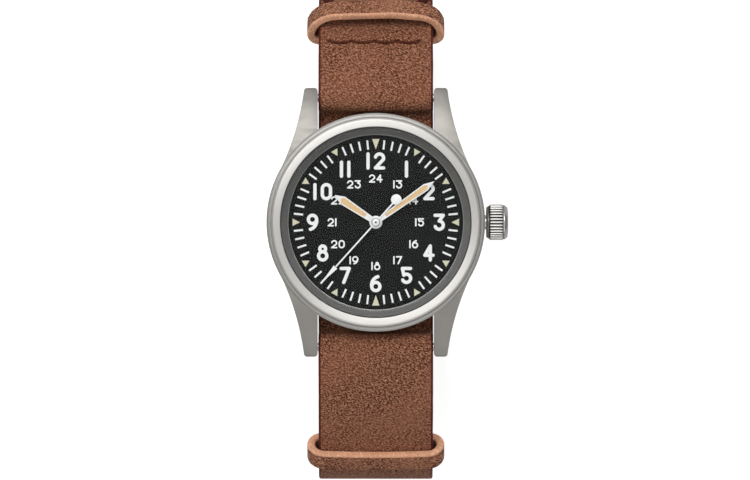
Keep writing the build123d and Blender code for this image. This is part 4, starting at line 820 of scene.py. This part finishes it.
# holes and the tongue's slot in one mesh, the slot of the fold in another, because they overlap
def strapCutters():
    work, fold = bmesh.new(), bmesh.new()
    lowLength = lowR * math.radians(180.0 - turnSteep)
    for index in range(2, strap["holes"]):
        past = strap["slotAt"] + index * strap["holePitch"] - strap["buckleRun"]
        if past < lowLength:
            steep = turnSteep + math.degrees(past / lowR)
            at, out = onBend((restEnd, lowR), lowR, steep), outward(steep)
        else:
            at, out = (restEnd - (past - lowLength), 0.0), (0.0, -1.0)
        roundCutter(work, facing(*at, out), strap["hole"], strap["thick"] + strap["cutSpare"])
    plane = facing(*buckleStart, buckleOut)
    slotPlace = plane @ Matrix.Translation((0, strap["slotAt"] * mm, 0))
    slotHalf = strap["foldSlot"] / 2
    roundCutter(work, slotPlace, slotHalf, layer + strap["thick"], strap["slotLong"] - strap["foldSlot"])
    low = strap["barAt"] - strap["buckleBar"] - strap["thick"]
    high = strap["barAt"] + wrapR + 2 * strap["cutSpare"]
    foldTop, foldLow = strap["gap"] / 2, -2 * wrapR - strap["cutSpare"]
    foldPlace = plane @ Matrix.Translation((0, (low + high) / 2 * mm, (foldTop + foldLow) / 2 * mm))
    roundCutter(fold, foldPlace, slotHalf, (foldTop - foldLow) / 2, high - low - strap["foldSlot"])
    return work, fold


stitch = {
    "count": 8,
    "pitch": 1.97,
    "length": 1.5,
    "radius": 0.17,
    "steep": 33.1,
    "rise": 0.14,
    "aside": -0.27,
    "sag": 0.42,  # how far each pair of stitches hangs towards the case
    "seed": 7,
    "core": 0.15,  # the line the thread presses into the leather
    "half": 0.4,
    "fade": 0.6,
    "pull": 0.3,
    # painted shade along the line the thread presses in
    "darkening": 0.92,
    "shade": (0.06, 0.013, 0.006, 1),
}


# how far past the middle of the case the row of stitches lies, along the leather
def stitchAlong():
    walk = overCase()
    walk.bendTo(topR, -stitch["steep"])
    return lengthOf(walk.points)


# where the middle of the outer face falls in the section's unrolled outline
def seamMiddle():
    section = leatherSection(strap["width"] / 2, strap["thick"])
    for point, around in zip(section, girthOf(section)):
        if point[2] == faceSlot and abs(point[0]) < 1e-6:
            return around


def makeStrap():
    hole, buckle = holeArm(), buckleArm()
    halfWidth = strap["width"] / 2

    def widthAt(length):
        share = min(1.0, length / strap["tailTaper"])
        tip = strap["tailTip"] / 2
        return tip + (halfWidth - tip) * math.sin(share * math.pi / 2) ** 0.9

    seam = {
        "along": (lengthOf(hole) + stitchAlong()) * mm,
        "middle": (seamMiddle() + stitch["aside"]) * mm,
        "reach": (stitch["count"] * stitch["pitch"] / 2) * mm,
        "arc": 2 * stitch["pitch"] * mm,
        "darkening": stitch["darkening"],
        "shade": stitch["shade"],
    }
    for size in ("sag", "core", "half", "fade", "pull"):
        seam[size] = stitch[size] * mm
    finishes = [leatherPaint("strapLeather", "strapLeather", seam), paints["edgeDye"], liningPaint]
    made, length = sweepLeather("strapBand", joined(hole, buckle), strap["thick"], widthAt, finishes)
    print("main strap", round(length, 1), "mm long")
    for work in strapCutters():
        cutter = meshObject("strapCutter", work, paints["edgeDye"])
        cut = made.modifiers.new("holes", "BOOLEAN")
        cut.operation, cut.solver, cut.material_mode = "DIFFERENCE", "EXACT", "TRANSFER"
        cut.object = cutter
        applied(made)
        bpy.data.objects.remove(cutter)
    takeOver(made, "watch", "leather", "main_strap")


def makeUnderStrap():
    front = underArm(frontCentre, frontR, (frontTurnR, frontSteep), strap["underFront"])
    top = underArm(topCentre, topR, (turnR, topSteep), strap["underTop"])
    finishes = [leatherPaint("underLeather", "strapLeather"), paints["edgeDye"], liningPaint]
    made, length = sweepLeather("underBand", joined(front, top), strap["underThick"],
                                lambda _: strap["width"] / 2, finishes)
    print("under strap", round(length, 1), "mm long")
    takeOver(made, "watch", "leather", "under_strap")


liningPaint = leatherPaint("liningLeather", "liningLeather")
makeStrap()
makeUnderStrap()
print("strap leather swept")


# keepers: a leather band bent round the arm, given as the loop's inner outline

keeper = {
    "wide": 3.6,
    "thick": 1.4,
    "inner": 21.2,
    "gap": 0.18,
    "corner": 1.5,
    "sag": 0.35,  # how far the middle of the front loop hangs down the arm
    "bulge": 0.25,  # how uneven the upper loop is along the arm
    "topCorner": 3.3,
    "topLowCorner": 0.9,
    "topDepth": 7.8,
    "topCrown": 0.75,
    "topAt": 42.3,
    "freeAt": 90.0,
    "frontAt": 43.4,
    "edgeRound": 0.36,
}


# points of the inner outline with their outward direction
def keeperOutline(low, high, lowCorner, highCorner, crown=0.0):
    half = keeper["inner"] / 2
    middle = (low + high) / 2
    points = []
    corners = [
        (half, high, highCorner, 90), (half, low, lowCorner, 0),
        (-half, low, lowCorner, -90), (-half, high, highCorner, -180),
    ]
    for x, y, radius, start in corners:
        cx = x - math.copysign(radius, x)
        cy = y - radius if y == high else y + radius
        points += [(cx + radius * nx, cy + radius * ny, nx, ny) for nx, ny in quarter(start, 8)]
        if y == low and x > 0:
            flat = [cx - 2 * (half - radius) * index / 12 for index in range(1, 12)]
            points += [(across, low, 0.0, -1.0) for across in flat]
    topHalf = half - highCorner
    points += [(-topHalf + 2 * topHalf * index / 16, high, 0.0, 1.0) for index in range(1, 16)]
    return [(x, y + crown * (1 - (x / half) ** 2) if y > middle else y, nx, ny)
            for x, y, nx, ny in points]


# across the band: depth from the inner face, place along the strap, and the finish after it
def keeperSection():
    thick, half, edge = keeper["thick"], keeper["wide"] / 2, keeper["edgeRound"]
    section = []
    # only the edge towards the case takes the bright cut-edge finish, the cut's own colour lifted by a
    # painted highlight where light falls on that side; the other edge takes the face leather
    finishes = [edgeSlot] * 3 + [backSlot] + [faceSlot] * 8 + [edgeSlot] * 4
    for depth, along, start in ((0, -half, 270), (0, half, 180), (thick, half, 90), (thick, -half, 0)):
        cd = depth + (edge if depth == 0 else -edge)
        ca = along - math.copysign(edge, along)
        for nx, ny in quarter(start, 3):
            section.append((cd + edge * nx, ca + edge * ny, finishes[len(section)]))
    return section


def makeKeeper(name, node, body, centre, radius, degrees, outline, flip=False, bulge=0.0, sag=0.0):
    at = onBend(centre, radius, degrees)
    out = outward(degrees)
    section = keeperSection()
    girth = girthOf(section)
    work = bmesh.new()
    uvLayer = work.loops.layers.uv.new("leather")
    rings = []
    for (left, up, nx, ny), length in zip(outline, girthOf(outline)):
        ring = []
        for depth, along, _ in section:
            px, py = left + nx * depth, up + ny * depth
            lean = along + bulge * field.noise(Vector((px * 0.16, py * 0.3, 4.1)))
            lean += sag * (1 - (2 * px / keeper["inner"]) ** 2)
            y, z = at[0] + py * out[0] + lean * out[1], at[1] + py * out[1] - lean * out[0]
            place = Vector((px, -y if flip else y, z))
            ring.append(work.verts.new(place * mm))
        rings.append((ring, girth, length))
    around = girthOf(outline)[-1]
    for near, far in zip(rings, rings[1:] + [(rings[0][0], girth, around)]):
        skin(work, uvLayer, near, far, section)
    bmesh.ops.recalc_face_normals(work, faces=work.faces)
    print(name, round(around, 1), "mm round inside")
    takeOver(meshObject(name, work, *keeperFinishes), body, "keeper_leather", node)


def makeKeepers():
    gap, corner, crown = keeper["gap"], keeper["corner"], keeper["topCrown"]
    low = -(layer + strap["underThick"] + gap)
    tall = low + keeper["topDepth"] - 2 * keeper["thick"]
    loose = keeperOutline(low, tall - crown, keeper["topLowCorner"], keeper["topCorner"], crown)
    over = keeperOutline(-(strap["thick"] + gap), layer + gap, corner, corner)
    close = keeperOutline(low, gap, corner, corner)
    makeKeeper("keeperTopLoop", "keeper_top", "watch", topCentre, topR, keeper["topAt"], loose,
               bulge=keeper["bulge"])
    makeKeeper("keeperFreeLoop", "keeper_free", "free_keeper", turnCentre, turnR, keeper["freeAt"], over)
    makeKeeper("keeperFrontLoop", "keeper_front", "watch", frontCentre, frontR, keeper["frontAt"], close,
               flip=True, sag=keeper["sag"])


# the keeper's face leather, its cut edge with a painted highlight, and the lining
keeperFinishes = [leatherPaint(name, name) for name in ("keeperLeather", "cutEdge")] + [liningPaint]
makeKeepers()
print("keepers bent")


# geometry nodes: the group's inputs are named sizes
class Tree(Wiring):
    def __init__(self, name, **inputs):
        super().__init__(bpy.data.node_groups.new(name, "GeometryNodeTree"))
        sockets = self.tree.interface
        sockets.new_socket("Geometry", in_out="INPUT", socket_type="NodeSocketGeometry")
        kinds = {float: "Float", int: "Int", tuple: "Vector", bpy.types.Material: "Material"}
        for key, value in inputs.items():
            made = sockets.new_socket(key, in_out="INPUT", socket_type="NodeSocket" + kinds[type(value)])
            if not isinstance(value, bpy.types.Material):
                made.default_value = value
        sockets.new_socket("Geometry", in_out="OUTPUT", socket_type="NodeSocketGeometry")
        self.sizes = self.tree.nodes.new("NodeGroupInput").outputs

    def finish(self, geometry):
        whole = self.out("GeometryNodeRealizeInstances", {"Geometry": geometry})
        sockets = {"Geometry": whole, "Material": self.sizes["Finish"]}
        painted = self.out("GeometryNodeSetMaterial", sockets)
        output = self.tree.nodes.new("NodeGroupOutput")
        self.tree.links.new(painted, output.inputs[0])
        return self

    # puts the tree on an object, sets its named sizes and turns the result into a plain mesh
    def grow(self, made, **values):
        modifier = made.modifiers.new(self.tree.name, "NODES")
        modifier.node_group = self.tree
        for item in self.tree.interface.items_tree:
            if item.item_type == "SOCKET" and item.in_out == "INPUT" and item.name in values:
                modifier[item.identifier] = values[item.name]
        return applied(made)


# a row of arched stitches along X, then tipped and moved onto the leather
def stitchTree():
    tree = Tree("stitchRow", Count=9, Seed=7, Pitch=0.002, Length=0.0016, Radius=0.0002, Rise=0.00014,
                Sag=0.0002, Tip=(0.0, 0.0, 0.0), Place=(0.0, 0.0, 0.0), Finish=paints["waxedThread"])
    sizes = tree.sizes
    half = tree.times(sizes["Length"], 0.5)
    back = tree.times(half, -1.0)
    sink = tree.times(sizes["Radius"], -0.6)
    top = tree.times(sizes["Rise"], 3.0)
    arch = tree.out("GeometryNodeCurveQuadraticBezier", {
        "Resolution": 9,
        "Start": tree.vector(back, 0.0, sink),
        "Middle": tree.vector(0.0, 0.0, top),
        "End": tree.vector(half, 0.0, sink),
    })
    ring = tree.out("GeometryNodeCurvePrimitiveCircle", {"Resolution": 10, "Radius": sizes["Radius"]})
    sockets = {"Curve": arch, "Profile Curve": ring, "Fill Caps": True}
    thread = tree.out("GeometryNodeCurveToMesh", sockets)
    span = tree.times(tree.calc("ADD", sizes["Count"], -1.0), sizes["Pitch"])
    line = tree.out("GeometryNodeMeshLine", {
        "Count": sizes["Count"],
        "Start Location": tree.vector(tree.times(span, -0.5)),
        "Offset": tree.vector(sizes["Pitch"]),
    })
    along = tree.calc("ADD", tree.out("GeometryNodeInputIndex"), 0.5)
    arc = tree.absolute(tree.calc("SINE", tree.times(along, math.pi / 2)))
    hang = tree.times(tree.times(sizes["Sag"], -1.0), arc)
    sockets = {"Geometry": line, "Offset": tree.vector(0.0, hang)}
    line = tree.out("GeometryNodeSetPosition", sockets)
    spread = {0: (0.0, -0.03, -0.1), 1: (0.0, 0.03, 0.1), "Seed": sizes["Seed"]}
    turn = tree.out("FunctionNodeRandomValue", spread, data_type="FLOAT_VECTOR")
    sockets = {"Points": line, "Instance": thread, "Rotation": turn}
    row = tree.out("GeometryNodeInstanceOnPoints", sockets)
    sockets = {"Geometry": row, "Translation": sizes["Place"], "Rotation": sizes["Tip"]}
    return tree.finish(tree.out("GeometryNodeTransform", sockets))


def makeStitches():
    tree = stitchTree()
    at = onBend(topCentre, topR, stitch["steep"])
    out = outward(stitch["steep"])
    tip = -math.radians(stitch["steep"])
    depth = layer + strap["underThick"]
    sizes = {key.capitalize(): stitch[key] * mm for key in ("pitch", "length", "radius", "rise", "sag")}
    rows = {
        "stitchesFront": (at, tip),
        "stitchesBack": ((at[0] - depth * out[0], at[1] - depth * out[1]), tip + math.pi),
    }
    for name, (place, turn) in rows.items():
        made = meshObject(name, bmesh.new())
        tree.grow(made, Count=stitch["count"], Seed=stitch["seed"], Tip=(turn, 0.0, 0.0),
                  Place=(stitch["aside"] * mm, place[0] * mm, place[1] * mm),
                  Finish=paints["waxedThread"], **sizes)
        smooth(made)
        takeOver(made, "watch", "thread", "stitching")


def smooth(made):
    for polygon in made.data.polygons:
        polygon.use_smooth = True


makeStitches()
print("stitches sewn")


# round pieces of the head: an outline of radius and height, softened at its corners and turned about Z
def softened(outline, radius, steps=4):
    result = []
    count = len(outline)
    for index, (r, z) in enumerate(outline):
        before = Vector(outline[index - 1])
        here = Vector((r, z))
        after = Vector(outline[(index + 1) % count])
        if r <= 0:
            result.append((r, z))
            continue
        cut = min(radius, (here - before).length * 0.45, (after - here).length * 0.45)
        start = here + (before - here).normalized() * cut
        end = here + (after - here).normalized() * cut
        for k in range(steps + 1):
            t = k / steps
            point = start * (1 - t) ** 2 + here * 2 * t * (1 - t) + end * t ** 2
            result.append((point.x, point.y))
    return result


def turnedPiece(name, outline, finish, segments=240, axis="Z", lift=0.0):
    work = bmesh.new()
    rings = []
    for r, z in outline:
        spokes = circle(segments) if r > 1e-9 else [(0.0, 0.0)]
        rings.append([work.verts.new((r * x * mm, r * y * mm, z * mm)) for x, y in spokes])
    for near, far in zip(rings, rings[1:] + rings[:1]):
        if len(near) + len(far) > 2:
            bridge(work, near, far)
    if axis == "X":
        bmesh.ops.transform(work, matrix=Matrix.Rotation(math.pi / 2, 4, "Y"), verts=work.verts)
    bmesh.ops.translate(work, vec=(0, 0, lift), verts=work.verts)
    bmesh.ops.recalc_face_normals(work, faces=work.faces)
    return meshObject(name, work, finish)


# heights of the head are counted up from the outer face of the case back, as in the solids
headZ = backBox[0].z
head = {
    "bezelOut": 18.2,
    "bezelIn": 16.6,
    "bezelLow": 6.2,
    "bezelTop": 8.3,
    "bezelSlope": 0.35,
    "bezelEase": 0.12,
    "glassR": 16.45,
    "glassLow": 7.2,
    "glassEdge": 8.55,
    "glassRim": ((0.0, 0.24), (0.05, 0.08), (0.12, 0.02)),  # inwards and down from the edge
    "glassDomeIn": 0.2,
    "glassDome": 0.95,
    "glassHollow": 0.8,
    "glassHollowIn": 1.6,
    "rehautOut": 16.54,
    "rehautWide": 1.3,
    "rehautTopWide": 0.4,
    "rehautLip": 0.4,
    "rehautEase": 0.06,
    "rehautShade": 0.15,
    # the rehaut's own tone, and the darker tone of painted shade at its rim
    "rehautInner": (0.17, 0.167, 0.162, 1),
    "rehautRimShade": (0.15, 0.148, 0.145, 1),
    "dialTop": 5.5,
}


def domeOutline(reach, height, edgeZ, steps=22):
    ball = (reach ** 2 + height ** 2) / (2 * height)
    points = []
    for index in range(steps + 1):
        r = reach * (1 - index / steps)
        points.append((r, edgeZ + height - ball + math.sqrt(ball ** 2 - r ** 2)))
    return points


def makeHead():
    h = head
    out, slope, top = h["bezelOut"], h["bezelSlope"], h["bezelTop"]
    outline = [(h["bezelIn"], h["bezelLow"]), (h["bezelIn"], top), (out - slope, top),
               (out, top - slope), (out, h["bezelLow"])]
    bezel = turnedPiece("bezelRing", softened(outline, h["bezelEase"]), paints["bezelSteel"], lift=headZ)
    takeOver(bezel, "watch", "satin_steel", "bezel")
    r, edge = h["glassR"], h["glassEdge"]
    outer = domeOutline(r - h["glassDomeIn"], h["glassDome"], edge)
    inner = list(reversed(domeOutline(r - h["glassHollowIn"], h["glassHollow"], h["glassLow"])))
    side = [(r, h["glassLow"])] + [(r - aside, edge - down) for aside, down in h["glassRim"]]
    glass = turnedPiece("crystalDome", inner + side + outer, crystalPaint(), lift=headZ)
    takeOver(glass, "watch", "crystal", "crystal")
    r, low, high = h["rehautOut"], h["dialTop"], h["glassLow"]
    inside = r - h["rehautWide"]
    outline = [(inside, low), (r, low), (r, high), (r - h["rehautTopWide"], high),
               (inside, low + h["rehautLip"])]
    satin = rehautPaint(inside * mm, (r - h["rehautShade"]) * mm, h["rehautInner"], h["rehautRimShade"])
    rehaut = turnedPiece("rehautRing", softened(outline, h["rehautEase"]), satin, lift=headZ)
    takeOver(rehaut, "watch", "rehaut", "rehaut_ring")


makeHead()
print("bezel, crystal and rehaut turned")


# solids taken over with eased edges: piece, body, slot, finish, width of the ease and its rounds
easedSolids = {
    "case_middle": ("caseBody", "watch", "satin_steel", "caseSteel", 0.1, 3),
    "case_back": ("caseBackPlate", "watch", "satin_steel", "backSteel", 0.06, 3),
    "buckle_frame": ("buckleFrame", "watch", "satin_steel", "buckleSteel", 0.05, 3),
    "buckle_tongue": ("buckleTongue", "tongue", "satin_steel", "buckleSteel", 0.12, 3),
    "hour_hand": ("hourHandEased", "hours", "white_hand", "handWhite", 0.03, 2),
    "minute_hand": ("minuteHandEased", "minutes", "white_hand", "handWhite", 0.03, 2),
    "second_hand": ("secondHandEased", "seconds", "white_hand", "handWhite", 0.03, 2),
}


# a merged copy of a solid's own mesh, with its sharp edges eased so that they catch the light
def eased(node, name, body, slot, finish, ease, rounds, sharp=28.0):
    work = bmesh.new()
    work.from_mesh(nodes[node].data)
    bmesh.ops.remove_doubles(work, verts=work.verts, dist=1e-6)
    bmesh.ops.dissolve_limit(work, angle_limit=math.radians(0.4), verts=work.verts, edges=work.edges)
    made = meshObject(name, work, paints[finish])
    smooth(made)
    bevel = made.modifiers.new("ease", "BEVEL")
    bevel.width, bevel.segments = ease * mm, rounds
    bevel.limit_method, bevel.angle_limit = "ANGLE", math.radians(sharp)
    bevel.harden_normals = True
    applied(made)
    takeOver(made, body, slot, node)


for nodeName, values in easedSolids.items():
    eased(nodeName, *values)
print("case, buckle and hands eased")


# the winding knob: a turned core with rounded ridges set round it

knob = {
    "start": 19.2,
    "length": 3.85,
    "radius": 3.12,
    "neck": 0.45,
    "neckR": 2.6,
    "core": 2.88,
    "coreFlare": (0.08, 0.25),  # how far in and before the end the core widens to the rim
    "bevel": 0.55,
    "dome": 0.12,
    "ease": 0.14,
    "axisZ": 3.25,
    "ridges": 34,
    "ridgeR": 0.19,
    "ridgeSides": 10,
    "ridgeInset": (0.1, 0.12),
    "ridgeFront": ((0.0, 0.35), (0.1, 0.75), (0.25, 1.0)),  # past its end, and share of its size
    "ridgeBack": ((0.35, 1.0), (0.12, 0.75), (0.0, 0.35)),
    "ridgeSink": 0.4,
    "bore": 1.31,
    "boreDeep": 1.5,
    "boreWall": 0.3,
    "rimPlain": 0.2,
}


def aroundTree():
    tree = Tree("setAround", Count=34, Axis=(1.0, 0.0, 0.0), Place=(0.0, 0.0, 0.0),
                Finish=paints["crownSteel"])
    sizes = tree.sizes
    sockets = {"Count": sizes["Count"], "Offset": (0.0, 0.0, 0.0)}
    line = tree.out("GeometryNodeMeshLine", sockets)
    share = tree.calc("DIVIDE", tree.out("GeometryNodeInputIndex"), sizes["Count"])
    turn = tree.times(share, 2 * math.pi)
    way = tree.out("VectorMath", {0: sizes["Axis"], "Scale": turn}, operation="SCALE")
    sockets = {"Points": line, "Instance": sizes["Geometry"], "Rotation": way}
    ring = tree.out("GeometryNodeInstanceOnPoints", sockets)
    sockets = {"Geometry": ring, "Translation": sizes["Place"]}
    return tree.finish(tree.out("GeometryNodeTransform", sockets))


# one ridge along X, standing off the axis, with rounded ends
def ridgeMesh():
    k = knob
    work = bmesh.new()
    radius = k["ridgeR"]
    low = k["start"] + k["neck"] + k["ridgeInset"][0]
    high = k["start"] + k["length"] - k["bevel"] - k["dome"] - k["ridgeInset"][1]
    stations = [(low + past, share) for past, share in k["ridgeFront"]]
    stations.append(((low + high) / 2, 1.0))
    stations += [(high - past, share) for past, share in k["ridgeBack"]]
    rings = []
    for x, share in stations:
        middle = k["radius"] - radius - (1 - share) * radius * k["ridgeSink"]
        places = [(x, radius * share * side, middle + radius * share * out)
                  for out, side in circle(k["ridgeSides"])]
        rings.append([work.verts.new(Vector(place) * mm) for place in places])
    for near, far in zip(rings, rings[1:]):
        bridge(work, near, far)
    return capped(work, rings)


def makeKnob():
    k = knob
    start, end = k["start"], k["start"] + k["length"]
    rim = end - k["bevel"] - k["dome"]
    lip, flare = k["coreFlare"]
    outline = [
        (k["bore"], start), (k["neckR"], start), (k["core"], start + k["neck"]),
        (k["core"], rim - flare), (k["radius"] - lip, rim),
        (k["radius"] - k["bevel"], end - k["dome"]), (k["radius"] / 2, end),
        (0, end), (0, start + k["boreDeep"]), (k["bore"], start + k["boreDeep"]),
    ]
    axisZ = headZ + k["axisZ"] * mm
    core = turnedPiece("knobCore", softened(outline, k["ease"]), paints["crownSteel"], 120, "X", axisZ)
    core.data.materials.append(paints["grooveSteel"])
    for polygon in core.data.polygons:  # the floor of the flutes is dark with painted shade
        x, y, z = polygon.center / mm
        around = math.hypot(y, z - axisZ / mm)
        if start + k["neck"] < x < rim - k["rimPlain"] and around > k["bore"] + k["boreWall"]:
            polygon.material_index = 1
    takeOver(core, "crown", "satin_steel", "crown")
    ridges = meshObject("knobRidges", ridgeMesh())
    aroundTree().grow(ridges, Count=k["ridges"], Axis=(1.0, 0.0, 0.0), Place=(0.0, 0.0, axisZ),
                      Finish=paints["crownSteel"])
    takeOver(ridges, "crown", "satin_steel", "crown")


makeKnob()
print("winding knob fluted")


# finishes of the solids that stay as they are
solidsWith = {
    "dialBlack": "dial",
    "dialWhite": "dial_print second_hand_lume",
    "creamLume": "hour_plots",
    "tanLume": "hour_hand_lume minute_hand_lume",
    "sealBlack": "crystal_gasket back_gasket crown_gasket",
    "ringPlastic": "movement_ring",
    "rubyJewel": "jewels",
    "polishedSteel": "crown_tube buckle_bar spring_bars bar_pin_top_right bar_pin_top_left "
                     "bar_pin_front_right bar_pin_front_left",
    "pinionSteel": "winding_stem barrel_arbor ratchet_wheel crown_wheel escape_wheel pallet_fork "
                   "cannon_pinion winding_pinion clutch_wheel",
    "springSteel": "bar_springs mainspring",
    "bluedSteel": "movement_screws hairspring",
    "plateBrass": "main_plate",
    "bridgeNickel": "barrel_bridge train_bridge balance_cock pallet_bridge",
    "wheelBrass": "barrel centre_wheel third_wheel fourth_wheel balance_wheel minute_wheel hour_wheel",
}
for finish, names in solidsWith.items():
    for nodeName in names.split():
        for slot in nodes[nodeName].material_slots:
            slot.material = paints[finish]
    print(finish, "on", names)
